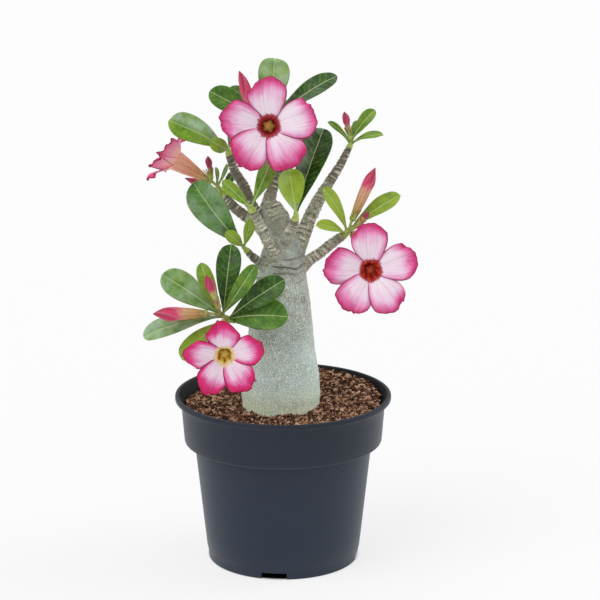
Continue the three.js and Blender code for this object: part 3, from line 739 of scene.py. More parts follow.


# the skin of an adenium: waxy grey-green, silvery where it splits into fine upright wrinkles,
# greyer at the neck with painted shade in its creases, and on the branches taupe with cream scars between dark
# rings
def adeniumBark():
    look = {"dark": "#77836f", "green": "#9daa98", "blue": "#b2c7c3", "low": "#b0cbc4", "foot": "#d3e0a8",
            "silver": "#eef3ee", "pit": "#5d7068", "brown": "#6d6150", "moss": "#85836a", "neck": "#6e6e5c",
            "smooth": "#b3b8ac", "crease": "#4c473b", "wood": ["#6c6a58", "#a8a791", "#dad9c8"],
            "burnt": "#5c5143", "ring": "#3d352a", "scar": "#f3ecda", "wrinkleMm": 1.6, "patchMm": 13,
            "speckMm": 0.8, "lineMm": 1.1, "foldMm": 7, "woodMm": 1.5, "cellMm": 1.2}
    material, add, shader = startMaterial("adeniumBark", 0.55, 1.45)
    place = add("TexCoord", [], out="Object")
    height = add("SeparateXYZ", [place], out=2)
    branch, scar, ring = add("SeparateXYZ", [add("Attribute", [], out=1, attribute_name="skin")]).node.outputs
    tip, crease, neck = add("SeparateXYZ", [add("Attribute", [], out=1, attribute_name="marks")]).node.outputs
    tall = add("Mapping", {"Vector": place, "Scale": (1, 1, 0.75)})
    flat = add("Mapping", {"Vector": place, "Scale": (0.3, 0.3, 1)})
    fine, broad, speck, lines, folds, rough = [
        add("TexNoise", {"Vector": spot, "Scale": 1 / (look[size] * mm), "Detail": detail, "Roughness": uneven})
        for spot, size, detail, uneven in (
            (tall, "wrinkleMm", 4, 0.7), (place, "patchMm", 4, 0.6), (place, "speckMm", 2, 0.5),
            (flat, "lineMm", 3, 0.6), (place, "foldMm", 3, 0.5), (place, "woodMm", 4, 0.7))]
    cells = add("TexVoronoi", {"Vector": tall, "Scale": 1 / (look["cellMm"] * mm)}, feature="DISTANCE_TO_EDGE")
    calm = add("MapRange", [neck, 0, 1, 1, 0.35])                      # smoother towards the branches
    neckness, mossy, foot, silver, burnt = [
        add("Math", [first, add("MapRange", second)], operation="MULTIPLY") for first, second in (
            (neck, [broad, 0.4, 0.65, 0.95, 0.55]),
            (add("MapRange", [height, 0.222, 0.238, 0, 0.75]), [folds, 0.35, 0.6, 1, 0.35]),
            (add("MapRange", [height, 0.132, 0.112, 0, 0.85]), [broad, 0.35, 0.6, 0.35, 1]),
            (add("MapRange", [cells, 0.2, 0.04]), [fine, 0.36, 0.56, 0.15, 0.84]),
            (tip, [rough, 0.35, 0.6, 0.45, 0.9]))]
    silver = add("Math", [silver, calm], operation="MULTIPLY")
    pits = add("Math", [add("MapRange", [cells, 0.22, 0.4, 0, 0.31]), calm], operation="MULTIPLY")
    # the creases of the neck and the ring round the twig's eye are painted dark: painted shade in the folds
    creaseShade, ringed, scarred = [add("Math", [depth, share], operation="MULTIPLY")
                                for depth, share in ((crease, 0.85), (ring, 0.85), (scar, 0.95))]
    # the lower trunk mixed lighter and bluer, and the foot above yellow-green: partly the skin's own colour,
    # partly painted light that lifts the shade near the soil
    low = add("MapRange", [height, 0.175, 0.128, 0, 0.75])
    specks = add("MapRange", [speck, 0.62, 0.74, 0, 0.3])
    streaks = add("Math", [folds, 0.5], operation="MULTIPLY")
    streaks = add("Math", [lines, 0.5, streaks], operation="MULTIPLY_ADD")
    bare = add("ValToRGB", [streaks], stops=[(0.4, look["neck"]), (0.56, look["smooth"])])
    wood = add("ValToRGB", [rough], stops=list(zip((0.3, 0.47, 0.64), look["wood"])))
    for share, colour in ((burnt, look["burnt"]), (ringed, look["ring"]), (scarred, look["scar"])):
        wood = add("Mix", {0: share, 6: wood, 7: colour}, out=2, data_type="RGBA")
    tone = add("ValToRGB", [broad], stops=[(0.3, look["dark"]), (0.48, look["green"]), (0.7, look["blue"])])
    for share, colour in ((neckness, bare), (mossy, look["moss"]), (low, look["low"]), (foot, look["foot"]),
                          (silver, look["silver"]), (pits, look["pit"]), (specks, look["brown"]),
                          (creaseShade, look["crease"]), (branch, wood)):
        tone = add("Mix", {0: share, 6: tone, 7: colour}, out=2, data_type="RGBA")
    relief = add("Math", [rough, 0.7, add("MapRange", [cells, 0, 0.2, 0.35, 0.6])], operation="MULTIPLY_ADD")
    bump = add("Bump", {"Height": relief, "Strength": 0.75, "Distance": 0.0006})
    fill = add("MapRange", [height, 0.17, 0.113, 0, 0.23])             # light that the pale soil throws back
    feedShader(shader, {"Base Color": tone, "Normal": bump, "Emission Color": tone, "Emission Strength": fill})
    return material


makeCaudex(adeniumBark())
print("trunk and branches ready")


# the lobes of an open bloom: the turn, length, lean, place of the hook, blush and breadth of each
def lobeFan(lobes, **shared):
    names = ("turn", "lobe", "lean", "hook", "blush", "breadth")
    return [{**shared, **dict(zip(names, lobe))} for lobe in lobes]


# the blooms and buds, and the lines that their stalks meet
steady = Vector((0.02, 0.05, 1))
blooms = {
    "top": {"foot": [-9.5, 8, 304], "throat": [-9, -22, 310], "facing": [0, -0.98, 0.2], "throatRadius": 7.5,
            "cone": 1.3, "lobes": lobeFan([
                (14, 27, 0, -0.35, 0), (94, 26.4, 0.06, 2, 0.06), (171, 27, 0.03, 0.25, 0.1),
                (232, 27.6, -0.03, 0.12, 0.12), (304, 27.4, 0, -0.1, 0.14)], breadth=0.5, open=[58, 104])},
    "right": {"foot": [48.5, -1, 231], "throat": [59.5, -24, 211.5], "facing": [0, -0.97, 0.25],
              "throatRadius": 7.4, "lobes": lobeFan([
                  (17, 26.8, 0, -0.4, 0.05), (94, 26.6, 0.05, 2, 0.08), (173, 27, -0.03, -0.1, 0.1),
                  (239, 26.8, 0.02, -0.2, 0.06), (303, 26.6, 0, -0.45, 0)], breadth=0.47, open=[58, 104])},
    "low": {"foot": [-40, -42.5, 179], "throat": [-38.5, -59, 162], "facing": [0.04, -0.99, -0.08],
            "throatRadius": 6.2, "lobes": lobeFan([
                (19, 23.8, -0.04, -0.1, 0.02, 0.44), (95, 22.4, 0, 0, 0.04, 0.52),
                (172, 24, 0.02, 0, -0.04, 0.44), (242, 25, 0, 0.1, 0, 0.43),
                (307, 24.6, 0, -0.5, 0, 0.43)], open=[52, 96], pointed=0.36)},
    "left": {"foot": [-50.5, 24, 263.5], "throat": [-73, 22, 277.5], "facing": [-0.84, 0.12, 0.52],
             "throatRadius": 7, "lobes": [
                 {"turn": 106, "lobe": 16.5, "breadth": 0.42, "open": [20, 108], "curl": 1.5, "hook": 2},
                 {"turn": 30, "lobe": 16, "breadth": 0.5, "open": [12, 66], "curl": 2.5, "hook": 2,
                  "pointed": 0.12},
                 {"turn": 342, "lobe": 18.6, "breadth": 0.36, "open": [20, 62], "curl": 2.5, "hook": 2},
                 {"turn": 298, "lobe": 19.6, "breadth": 0.26, "open": [36, 76], "curl": 1.5},
                 {"turn": 204, "lobe": 16, "breadth": 0.5, "open": [20, 100], "curl": 2, "hook": 2}]},
}
buds = {
    # where the crimson starts, how full or slim the bud is, how green its foot and how dark its petals
    "crown": {"foot": [-18.5, 2, 311.5], "tip": [-29, 0, 343.5], "width": 9, "start": 0.2, "slim": 0.55},
    "leftUp": {"foot": [-49.5, 21.5, 266.5], "tip": [-51.5, 20, 281.5], "width": 4.6, "start": 0.45,
               "green": 0.4, "dark": 0.75},
    "leftLow": {"foot": [-55, 29.5, 259], "tip": [-68, 32, 263.5], "width": 5.4, "start": 0.35, "slim": 1,
                "dark": 0.6},
    "rightUpper": {"foot": [46, 18.5, 295], "tip": [41.8, 18, 312.6], "width": 5, "start": 0.5, "green": 0.5,
                   "dark": 0.35},
    "rightLower": {"foot": [47.5, -6.5, 243.5], "tip": [62.5, -8, 279], "width": 8.2, "start": 0.66, "full": 1},
    "rightSmall": {"foot": [52, -14.5, 242], "tip": [58, -17, 250.5], "width": 4.2, "start": 0.55, "dark": 0.8},
    "sideLevel": {"foot": [-51.5, -43, 186.7], "tip": [-86, -54, 189.3], "width": 9.4, "start": 0.55,
                  "full": 1},
    "sideUp": {"foot": [-43, -45, 192], "tip": [-50.5, -55, 216.3], "width": 6.2, "start": 0.54, "full": 0.4,
               "green": 0.56, "dark": 0.25},
}
# the outline that a calyx grips: share of the bud's length, share of its half width
budOutline = [[0, 0.3], [0.2, 0.5], [0.45, 0.78], [0.68, 1], [0.82, 0.82], [0.93, 0.42], [1, 0.1]]


def tubeLine(bloom):
    foot, throat = Vector(bloom["foot"]), Vector(bloom["throat"])
    bend = throat - Vector(bloom["facing"]).normalized() * 0.5 * (foot - throat).length
    return bendThrough(foot, bend, throat)


def tubeRadius(bloom, t):
    wide = bloom["throatRadius"]
    return between([1.9, 0.5 * wide, 0.78 * wide, wide], t)


def budRadius(bud, t):
    places, shares = zip(*budOutline)
    return 0.5 * bud["width"] * float(numpy.interp(t, places, shares))


# a leaf from its place on the stem to its tip, with how young its green is and how much painted sheen its waxy
# face carries
def leafAt(at, tip, width, facing, **more):
    return {"at": at, "tip": tip, "width": width, "facing": facing, **more}


shoots = {
    "crown": {"top": [-10, 14, 307.5], "leaves": [
        leafAt(0.9, [-5.5, 30, 347], 22.5, [0.1, -0.9, 0.4], tone=0.5, shine=0.45),
        leafAt(0.8, [36.5, 20, 337], 14.5, [-0.1, -0.8, 0.6], tone=0.06, shine=0.12),
        leafAt(0.5, [-49.5, 14, 327], 17.5, [0.1, -0.9, 0.4], tone=0.3),
        leafAt(0.95, [-38.5, 32, 325], 14, [0.1, -0.9, 0.5], tone=0.2),
        leafAt(0.7, [3.5, 60, 313], 18, [0.3, 0.2, 0.95]),
        leafAt(0.55, [-14, 59, 287], 17, [-0.2, 0.5, 0.9]),
        leafAt(0.5, [12, 50, 281], 16, [0.4, 0.6, 0.8])],
        "stalks": [(0.8, "bloom", "top"), (0.7, "bud", "crown")]},
    "upperLeft": {"top": [-37, -4.5, 292], "leaves": [
        leafAt(0.5, [-76, -12, 311.5], 20, [0, -0.82, 0.5], tone=0.5, shine=0.75, sheenSide=1),
        leafAt(0.7, [-48, -21, 300], 10.5, [-0.3, -0.8, 0.3], arch=3, tone=0.6),
        leafAt(0.6, [-31, 41, 302], 16, [0.1, -0.5, 0.85])],
        "stalks": []},
    "front": {"top": [-21, -27, 258], "leaves": [
        leafAt(0.4, [-39.5, -36, 276], 9, [-0.3, -0.8, 0.5], arch=3, tone=0.6),
        leafAt(0.7, [-8, -10, 284], 12.5, [0.2, -0.9, 0.3], arch=3, tone=0.5)],
        "stalks": []},
    "middle": {"top": [9, -21, 252], "leaves": [
        leafAt(0.8, [4.5, -20, 280.5], 19, [0.05, -1, 0.1], arch=-2, taper=1.1, tone=0.85, shine=0.25,
               sheenSide=-1),
        leafAt(0.5, [28, 2, 303.5], 23, [-0.25, -0.9, 0.3], tone=0.0, shine=0.6, sheenSide=-1)],
        "stalks": []},
    "rightUpper": {"top": [46.8, 20.5, 293], "leaves": [
        leafAt(0.4, [31, 18, 305.5], 5.5, [0.55, -0.7, 0.45], arch=2, tone=0.5),
        leafAt(0.8, [62.5, 20, 313.5], 9.5, [-0.3, -0.8, 0.3], arch=3, tone=0.5),
        leafAt(0.4, [68, 12, 297.5], 7, [-0.2, -0.6, 0.8], arch=3, tone=0.5),
        leafAt(0.6, [59, 52, 299], 11, [-0.2, -0.3, 0.9])],
        "stalks": [(0.7, "bud", "rightUpper")]},
    "rightLower": {"top": [46, -4.5, 236.5], "leaves": [
        leafAt(0.6, [27.5, -8, 265.5], 10, [0.3, -0.8, 0.4], arch=3, tone=0.9),
        leafAt(0.3, [23, -14, 241], 9, [0.1, -0.75, 0.65], arch=3, tone=0.95),
        leafAt(0.8, [79.5, -4, 259], 13, [-0.2, -0.75, 0.6], arch=3, tone=0.68),
        leafAt(0.6, [66, 32, 209], 15, [0.4, 0.2, 0.9])],
        "stalks": [(0.5, "bloom", "right"), (0.9, "bud", "rightLower"), (0.95, "bud", "rightSmall")]},
    "farLeft": {"top": [-45.5, 26.5, 259.5], "leaves": [
        leafAt(0.95, [-38.5, 24, 275], 3.6, [0.5, -0.8, 0.2], arch=1, tone=0.65, shine=0.4),
        leafAt(1, [-46, 27, 272], 3.4, [0.4, -0.8, 0.1], arch=1, tone=0.6, shine=0.4),
        leafAt(0.6, [-34.5, 36, 266], 6.5, [0.2, -0.9, 0.3], arch=1, tone=0.1),
        leafAt(0.8, [-24, 15.5, 248.5], 7, [0.2, -0.7, 0.7], arch=2, tone=0.9),
        leafAt(0.4, [-50.5, 60, 240], 15, [-0.2, 0.3, 0.9])],
        "stalks": [(0.9, "bloom", "left"), (1, "bud", "leftUp"), (0.7, "bud", "leftLow")]},
    "lowLeft": {"top": [-27, -13.5, 226], "leaves": [
        leafAt(0.5, [-60, -16, 270], 24.5, [-0.3, -0.85, 0.3], tone=0.28, shine=0.32),
        leafAt(0.8, [-22.5, -20, 246.5], 8.5, [0.4, -0.85, 0.2], arch=2, tone=0.75),
        leafAt(0.8, [-38, -23, 238], 9, [-0.2, -0.85, 0.5], arch=2, tone=0.7)],
        "stalks": []},
    "side": {"top": [-42, -37, 184.5], "leaves": [
        leafAt(0.9, [-80.5, -36, 211.6], 20.5, [-0.1, -0.85, 0.5], tone=0.45, shine=0.42),
        leafAt(1, [-54.5, -40, 220.5], 11.5, [-0.1, -0.9, 0.4], tone=0.6),
        leafAt(0.8, [-34.5, -26, 230], 17.5, [0, -0.9, 0.35], tone=0.1),
        leafAt(0.9, [-18, -42, 219.8], 11.8, [0.2, -0.9, 0.4], tone=0.4),
        leafAt(0.4, [1.2, -36, 208], 17.8, [0.1, -0.85, 0.5], tone=0.1),
        leafAt(0.3, [3.5, -42, 184], 24, [0.1, -0.82, 0.57], tone=0.3, taper=0.95),
        leafAt(0.8, [-93.5, -42, 170.5], 15.5, [-0.1, -0.75, 0.65], tone=0.45, shine=0.55),
        leafAt(0.4, [-68, -38, 153.5], 14.5, [-0.3, -0.8, 0.5], tone=0.8),
        leafAt(0.6, [-68, 4, 192], 15, [-0.4, -0.2, 0.9])],
        "stalks": [(0.5, "bloom", "low"), (0.9, "bud", "sideLevel"), (1, "bud", "sideUp")]},
}
# how warm a brown the calyx and stalk of a bloom or bud are
warmCalyx = {"right": 0.8, "left": 0.35, "rightSmall": 0.4, "sideLevel": 0.35, "sideUp": 0.3, "low": 0.5}
leafSizes = {
    "across": 16, "along": 38, "halfThickness": 0.36, "stalkHalf": 0.8, "rib": 0.45, "ribReach": 0.8,
    "groove": 0.3, "grooveReach": 0.9, "fold": 16, "arch": 5, "taper": 1.3, "blunt": 0.45, "ripple": 0.012,
    "tone": 0.35, "shine": 0.05, "sheenSide": 0,
}


# how wide a blade is along its length, as a share of its full width
def leafOutline(t, taper):
    blunt = leafSizes["blunt"]
    peak = taper / (taper + blunt)
    return (t ** taper * (1 - t) ** blunt) / (peak ** taper * (1 - peak) ** blunt)


def makeLeaf(base, leaf, seed):
    s = {**leafSizes, **leaf}
    tip, fold = Vector(s["tip"]), math.radians(s["fold"])
    along = (tip - base).normalized()
    length = (tip - base).length
    side = along.cross(Vector(s["facing"])).normalized()
    face = side.cross(along)
    wave = s["ripple"] * s["width"]

    def halfAt(t):
        return max(mix(s["stalkHalf"], 0.12, ease(0.85, 1, t)), 0.5 * s["width"] * leafOutline(t, s["taper"]))

    def surface(x, t):
        half = halfAt(t)
        rippled = wave * abs(x) ** 2 * math.sin(t * 11 + seed * 2.1 + (2.4 if x > 0 else 0)) * ease(0.1, 0.4, t)
        groove = s["groove"] * math.exp(-(x * half / s["grooveReach"]) ** 2) * ease(0.1, 0.25, t)
        lift = s["arch"] * 4 * t * (1 - t) + half * abs(x) * math.sin(fold) + rippled * 2 - groove
        curl = 0.25 * half * ease(0.82, 1, t) * math.sin(seed * 3.7)
        return base + along * (t * length) + side * (x * half * math.cos(fold)) + face * (lift + curl * t)

    def thickness(x, t):
        stalk = 1 - ease(0.02, 0.2, t)
        rib = s["rib"] * math.exp(-(x * halfAt(t) / s["ribReach"]) ** 2) * (1 - 0.7 * t)
        half = mix(s["halfThickness"] * (1 - 0.35 * abs(x)), s["stalkHalf"], stalk)
        return half, half + rib

    def shineAt(x):
        return s["shine"] * (ease(-0.15, 0.5, x * s["sheenSide"]) if s["sheenSide"] else 1)
    piece = bladePiece("leaf", s["across"], s["along"], surface, thickness, 1.5)
    places = [d.vector for d in piece.data.attributes["place"].data]
    setAttribute(piece, "blade", [(halfAt(clamp(t)), length, seed * 0.37 % 1) for _, t, _ in places])
    setAttribute(piece, "look", [(s["tone"], shineAt(x), 0) for x, t, _ in places])
    return piece


calyxSizes = {"reach": 7.5, "share": 0.42, "sepals": 5, "halfWidth": 1.5, "halfThickness": 0.32}


# five narrow pointed sepals round the foot of a bloom or bud, on a small green cup
def makeCalyx(line, radiusAt, seed, warm):
    s = calyxSizes
    length = lengthOf(line, 20)
    low = radiusAt(0)
    reach = min(s["reach"], s["share"] * length)
    rings = [(0.01, -2.2), (0.6, -2.1), (low + 0.9, -0.7), (low + 1.2, 0.2), (low + 1.1, 1.3),
             (low + 0.7, 1.5), (low + 0.45, 0.6), (0.01, 0.05)]
    parts = [roundPiece("calyx", line, [(r, (y - 0.35) / length) for r, y in rings], 20, steady)]
    for i in range(s["sepals"]):
        turn = math.radians(360 / s["sepals"] * i + 20 + seed * 31)

        def surface(x, t, turn=turn):
            share = mix(-0.6, reach, t) / length
            centre, side, over = crossFrame(line, share, steady)
            half = s["halfWidth"] * (1 - t) ** 0.75 * (0.85 + 0.5 * t) + 0.08
            radius = radiusAt(clamp(share)) + 0.6 + 0.3 * t * t
            angle = turn + x * half / radius
            return centre + (side * math.cos(angle) + over * math.sin(angle)) * radius
        sepal = bladePiece("sepal", 4, 10, surface, lambda x, t: (s["halfThickness"], s["halfThickness"]))
        setAttribute(sepal, "look", [(1, 0, 0)] * len(sepal.data.vertices))
        parts.append(sepal)
    for part in parts:
        setAttribute(part, "blush", [warm] * len(part.data.vertices), "FLOAT")
    return parts


def stemLine(name):
    line = curveThrough(branches[name]["route"])
    start = line(1) + tangentOf(line, 1) * 0.35
    return bendThrough(start, start + tangentOf(line, 1) * 2.5, shoots[name]["top"])


# a stalk from the stem to the foot of a bloom or bud, with the calyx on its end
def makeStalk(start, kind, flower, seed):
    if kind == "bloom":
        line, radiusAt = tubeLine(blooms[flower]), partial(tubeRadius, blooms[flower])
    else:
        line = straight(buds[flower]["foot"], buds[flower]["tip"])
        radiusAt = partial(budRadius, buds[flower])
    under = line(0) - tangentOf(line, 0) * 1.4
    route = bendThrough(start, under - tangentOf(line, 0) * 0.4 * (start - under).length, under)
    warm = warmCalyx.get(flower, 0)
    stalk = roundPiece("stalk", route, limbRings([1.15, 0.9, 1.05], 10), 12, steady)
    setAttribute(stalk, "blush", [0.8 * warm] * len(stalk.data.vertices), "FLOAT")
    return [stalk] + makeCalyx(line, radiusAt, seed, warm)


def makeShoot(name, shoot, leafMaterial, stemMaterial):
    stem = stemLine(name)
    radius = branches[name]["radii"][-1]
    seed = len(name) + ord(name[0])
    leaves = [makeLeaf(stem(leaf["at"]), leaf, seed + i) for i, leaf in enumerate(shoot["leaves"])]
    finishPiece(joinPieces("leaves_" + name, leaves), leafMaterial, "leaf", "shoot_" + name)
    radii = [0.95 * radius, 0.74 * radius, 0.66 * radius, 0.45 * radius]
    foot = [(0.01, -0.2), (0.8 * radius, -0.19)]                                    # stands in the branch tip
    parts = [roundPiece("stem", stem, foot + limbRings(radii, 16, 0.6)[1:], 18, upright,
                        lambda t, a: 0.07 * math.sin(a * 3 + t * 9) + 0.05 * math.cos(t * 24))]
    for place, kind, flower in shoot["stalks"]:
        parts += makeStalk(stem(place), kind, flower, seed)
    finishPiece(joinPieces("stems_" + name, parts), stemMaterial, "leaf", "shoot_" + name)


# the leathery blade of an adenium leaf: a waxed upper side with a pale midrib and faint side
# veins that bend to the tip, a pale margin, pale patches of painted sheen, and a duller and lighter underside
def waxyLeaf():
    look = {"deep": "#1c3f06", "mid": "#4a791d", "young": "#a1bc38", "vein": "#a3c05f", "rib": "#cfdea6",
            "under": "#839b62", "sheen": "#c3dcc6", "veinMm": 4.2, "mottleMm": 6, "fleckMm": 1.3, "cloudMm": 10}
    material, add, shader = startMaterial("waxyLeafBlade", 0.34, 1.45)
    x, t, under = add("SeparateXYZ", [add("Attribute", [], out=1, attribute_name="place")]).node.outputs
    half, length, _ = add("SeparateXYZ", [add("Attribute", [], out=1, attribute_name="blade")]).node.outputs
    given, shine, _ = add("SeparateXYZ", [add("Attribute", [], out=1, attribute_name="look")]).node.outputs
    spot = add("TexCoord", [], out="Object")
    mottle, fleck, cloud = [
        add("TexNoise", {"Vector": spot, "Scale": 1 / (look[size] * mm), "Detail": detail, "Roughness": uneven})
        for size, detail, uneven in (("mottleMm", 4, 0.6), ("fleckMm", 2, 0.5), ("cloudMm", 3, 0.5))]
    across = add("Math", [x], operation="ABSOLUTE")
    fromRib = add("Math", [across, half], operation="MULTIPLY")              # millimetres from the midrib
    tone = add("Math", [mottle, 0.7, add("Math", [given, -0.45])], operation="MULTIPLY_ADD")
    tone = add("Math", [fleck, 0.22, tone], operation="MULTIPLY_ADD")
    green = add("ValToRGB", [tone], stops=[(0.0, look["deep"]), (0.35, look["mid"]), (0.9, look["young"])])
    bent = add("Math", [fromRib, 1.25], operation="POWER")                   # side veins bend towards the tip
    run = add("Math", [t, length, add("Math", [bent, -0.42], operation="MULTIPLY")], operation="MULTIPLY_ADD")
    run = add("Math", [mottle, 4.5, run], operation="MULTIPLY_ADD")
    phase = add("Math", [run, look["veinMm"] / 2], operation="PINGPONG")
    vein = add("MapRange", [phase, 0.34, 0.05, 0, 1])
    vein = add("Math", [vein, add("MapRange", [mottle, 0.38, 0.56, 0.3, 1])], operation="MULTIPLY")
    veined = add("Math", [vein, 0.42], operation="MULTIPLY")
    margin = add("MapRange", [across, 0.945, 1.0, 0, 0.55])
    # painted sheen: pale patches where the waxy face would catch the light, on one side only of some leaves
    paintedSheen = add("Math", [add("MapRange", [cloud, 0.34, 0.62, 0.1, 0.85]), shine], operation="MULTIPLY")
    width = add("Math", [t, -0.55, 0.95], operation="MULTIPLY_ADD")
    rib = add("MapRange", [add("Math", [fromRib, width], operation="DIVIDE"), 0.68, 0.3, 0, 0.75])
    below = add("Math", [under, 0.6], operation="MULTIPLY")
    for share, colour in ((veined, "vein"), (margin, "vein"), (paintedSheen, "sheen"), (rib, "rib"), (below, "under")):
        green = add("Mix", {0: share, 6: green, 7: look[colour]}, out=2, data_type="RGBA")
    gloss = add("MapRange", [mottle, 0.3, 0.7, 0.22, 0.36])
    gloss = add("Math", [under, 0.22, gloss], operation="MULTIPLY_ADD")
    height = add("Math", [fleck, 0.35], operation="MULTIPLY")
    height = add("Math", [vein, -0.6, height], operation="MULTIPLY_ADD")
    bump = add("Bump", {"Height": height, "Strength": 0.6, "Distance": 0.0003})
    feedShader(shader, {"Base Color": green, "Roughness": gloss, "Normal": bump})
    shader.inputs["Specular IOR Level"].default_value = 0.22
    return material


# young adenium stem and calyx: smooth green skin, yellower in patches, and brownish red where
# the sepals run out
def greenStem():
    look = {"green": ["#839c42", "#a6ba59", "#c9d084"], "red": "#a86a4e", "warm": "#d09a7e", "mottleMm": 3}
    material, add, shader = startMaterial("greenStemSkin", 0.45, 1.45)
    spot = add("TexCoord", [], out="Object")
    t = add("SeparateXYZ", [add("Attribute", [], out=1, attribute_name="place")], out=1)
    sepal = add("SeparateXYZ", [add("Attribute", [], out=1, attribute_name="look")], out=0)
    warm = add("Attribute", [], out="Fac", attribute_name="blush")
    mottle = add("TexNoise", {"Vector": spot, "Scale": 1 / (look["mottleMm"] * mm), "Detail": 4,
                              "Roughness": 0.6})
    red = add("Math", [add("MapRange", [t, 0.25, 0.95, 0, 0.8]), sepal], operation="MULTIPLY")
    green = add("ValToRGB", [mottle], stops=list(zip((0.32, 0.5, 0.7), look["green"])))
    for share, colour in ((red, look["red"]), (warm, look["warm"])):
        green = add("Mix", {0: share, 6: green, 7: colour}, out=2, data_type="RGBA")
    bump = add("Bump", {"Height": mottle, "Strength": 0.3, "Distance": 0.0004})
    feedShader(shader, {"Base Color": green, "Normal": bump})
    return material


leafFinish = waxyLeaf()
stemFinish = greenStem()
for shootName, shootParts in shoots.items():
    makeShoot(shootName, shootParts, leafFinish, stemFinish)
print("shoots ready")

bloomSizes = {
    "across": 32, "along": 36, "halfThickness": 0.3, "overlap": 0.25, "lap": 1.5, "cup": 0.8,
    "curl": 0.8, "pointed": 0.25, "hook": 0, "hookHeight": 0.055, "hookWidth": 0.06, "lean": 0, "blush": 0,
    "waves": [(0.022, 3.4, 1.3), (0.016, 8, 1), (0.007, 21, 1)], "ruffle": 1.9, "ripple": 0.75,
    "folds": [(0.7, 0.02, 0.08), (0.4, -0.42, 0.07)],
    "tubeSides": 48, "tubeRings": 24, "tubeFloor": 0.26, "flute": 0.035, "anthers": 5,
    "throat": [(0.26, 0.22), (0.45, 0.34), (0.6, 0.46), (0.75, 0.58), (0.86, 0.7), (0.94, 0.83), (1, 0.93)],
}


def faceAxes(bloom):
    out = Vector(bloom["facing"]).normalized()
    right = steady.cross(out).normalized()
    return right, out.cross(right), out


# a lobe leaves the throat at its first angle and bends outwards to its last, twisted so that one
# side lies over the next lobe, with a hooked, uneven and ruffled rim
def makeLobe(bloom, lobe, seed):
    s = {**bloomSizes, **lobe}
    wide, long = bloom["throatRadius"], s["lobe"]
    turn = math.radians(s["turn"])
    right, up, out = faceAxes(bloom)
    away = right * math.cos(turn) + up * math.sin(turn)
    across = away.cross(out)
    first, last = [math.radians(a) for a in s["open"]]
    centre = Vector(bloom["throat"])
    reach = long + 2

    # how far the rim reaches at x, as a share of the lobe's length
    def rimAt(x, edge):
        hook = s["hookHeight"] * math.exp(-abs(x - s["hook"]) / s["hookWidth"]) + s["lean"] * x
        uneven = sum(high * math.sin(often * x + seed * shift) for high, often, shift in s["waves"])
        return 0.93 - s["pointed"] * edge ** 2 + hook + uneven * long / 27

    def surface(x, t):
        shifted = x - s["overlap"] * (1 - x * x)
        edge = abs(shifted)
        angle = first + (last - first) * t * rimAt(x, edge)
        radial = wide - 1.1 + reach * (math.cos(first) - math.cos(angle)) / (last - first)
        radial -= 0.19 * wide * shifted * shifted * (1 - ease(0, 0.3, t))            # set round the rim
        rise = reach * (math.sin(angle) - math.sin(first)) / (last - first)
        half = mix(0.7 * wide, s["breadth"] * long, max(math.sin(1.9 * t), 0) ** 0.9)
        lap = (s["lap"] * shifted + s["cup"] * edge * edge) * math.sqrt(t)
        ruffle = s["ruffle"] * edge ** 2 * math.sin(6.5 * t + 4 * x + seed * 1.7)
        ruffle = t * t * (ruffle + s["ripple"] * math.sin(7 * x + seed))
        fold = t * sum(-depth * math.exp(-((x - place) / width) ** 2) for depth, place, width in s["folds"])
        rolled = s["curl"] * max(edge, t ** 2) ** 4 * ease(0.1, 0.6, t)              # the rim rolls back
        return (centre + away * (radial + rolled * math.cos(angle)) + across * (shifted * half)
                + out * (rise - 0.6 + lap + ruffle + fold - rolled * math.sin(angle)))
    piece = bladePiece("lobe", s["across"], s["along"], surface,
                       lambda x, t: (s["halfThickness"], s["halfThickness"]))
    setAttribute(piece, "look", [(seed * 0.31 % 1, s["blush"], 0)] * len(piece.data.vertices))
    return piece


# the tube of a bloom: up the outside, over the rim and down inside to the floor
def makeTube(bloom):
    s = bloomSizes
    wide, count, floor = bloom["throatRadius"], s["tubeRings"], s["tubeFloor"]
    places, shares = zip(*s["throat"])
    outer = [(1.7, 0)] + [(tubeRadius(bloom, i / count), i / count) for i in range(1, count + 1)]
    inner = [mix(1, floor, i / count) for i in range(count + 1)]
    inner = [(wide * numpy.interp(t, places, shares), t) for t in inner]
    rings = [(0.01, 0), (1.2, -0.001), *outer, (wide - 0.2, 1.012), (wide - 0.5, 1.012), *inner, (0.01, floor)]
    return roundPiece("tube", tubeLine(bloom), rings, s["tubeSides"], steady,
                      lambda t, a: s["flute"] * math.cos(5 * a) * math.sin(math.pi * clamp(t)),
                      inside=count + 3)


# five anthers that lean together in a cone, with the twisted hairs of their tips
def makeAnthers(name, bloom, material):
    s = bloomSizes
    line = tubeLine(bloom)
    length = (Vector(bloom["foot"]) - Vector(bloom["throat"])).length
    start = s["tubeFloor"] + 0.3 / length
    outline = [(0.01, start), (0.7, start + 0.01), (0.95, start + 0.05), (1.4, mix(start, 0.7, 0.5)),
               (2.3, 0.7), (3.0, 0.8), (3.0, 0.87), (2.2, 0.93), (1.1, 0.97), (0.01, 0.98)]
    fat = bloom.get("cone", 1)
    parts = [roundPiece("cone", line, [(fat * r, t) for r, t in outline], 30, steady,
                        lambda t, a: 0.2 * math.cos(s["anthers"] * a + 4 * t))]
    for i in range(s["anthers"]):
        turn = math.radians(360 / s["anthers"] * i + 10)

        def hair(t, turn=turn):
            centre, side, over = crossFrame(line, mix(0.75, 0.99, t), steady)
            radius = mix(1.8, 3.2, t) + 0.4 * math.sin(5 * t)
            angle = turn + 1.1 * t
            return centre + (side * math.cos(angle) + over * math.sin(angle)) * radius
        parts.append(roundPiece("hair", hair, limbRings([0.34, 0.3, 0.2], 8), 7, Vector((0.3, 0.2, 1))))
    return finishPiece(joinPieces("antherCone_" + name, parts), material, "anther", "anthers_" + name)


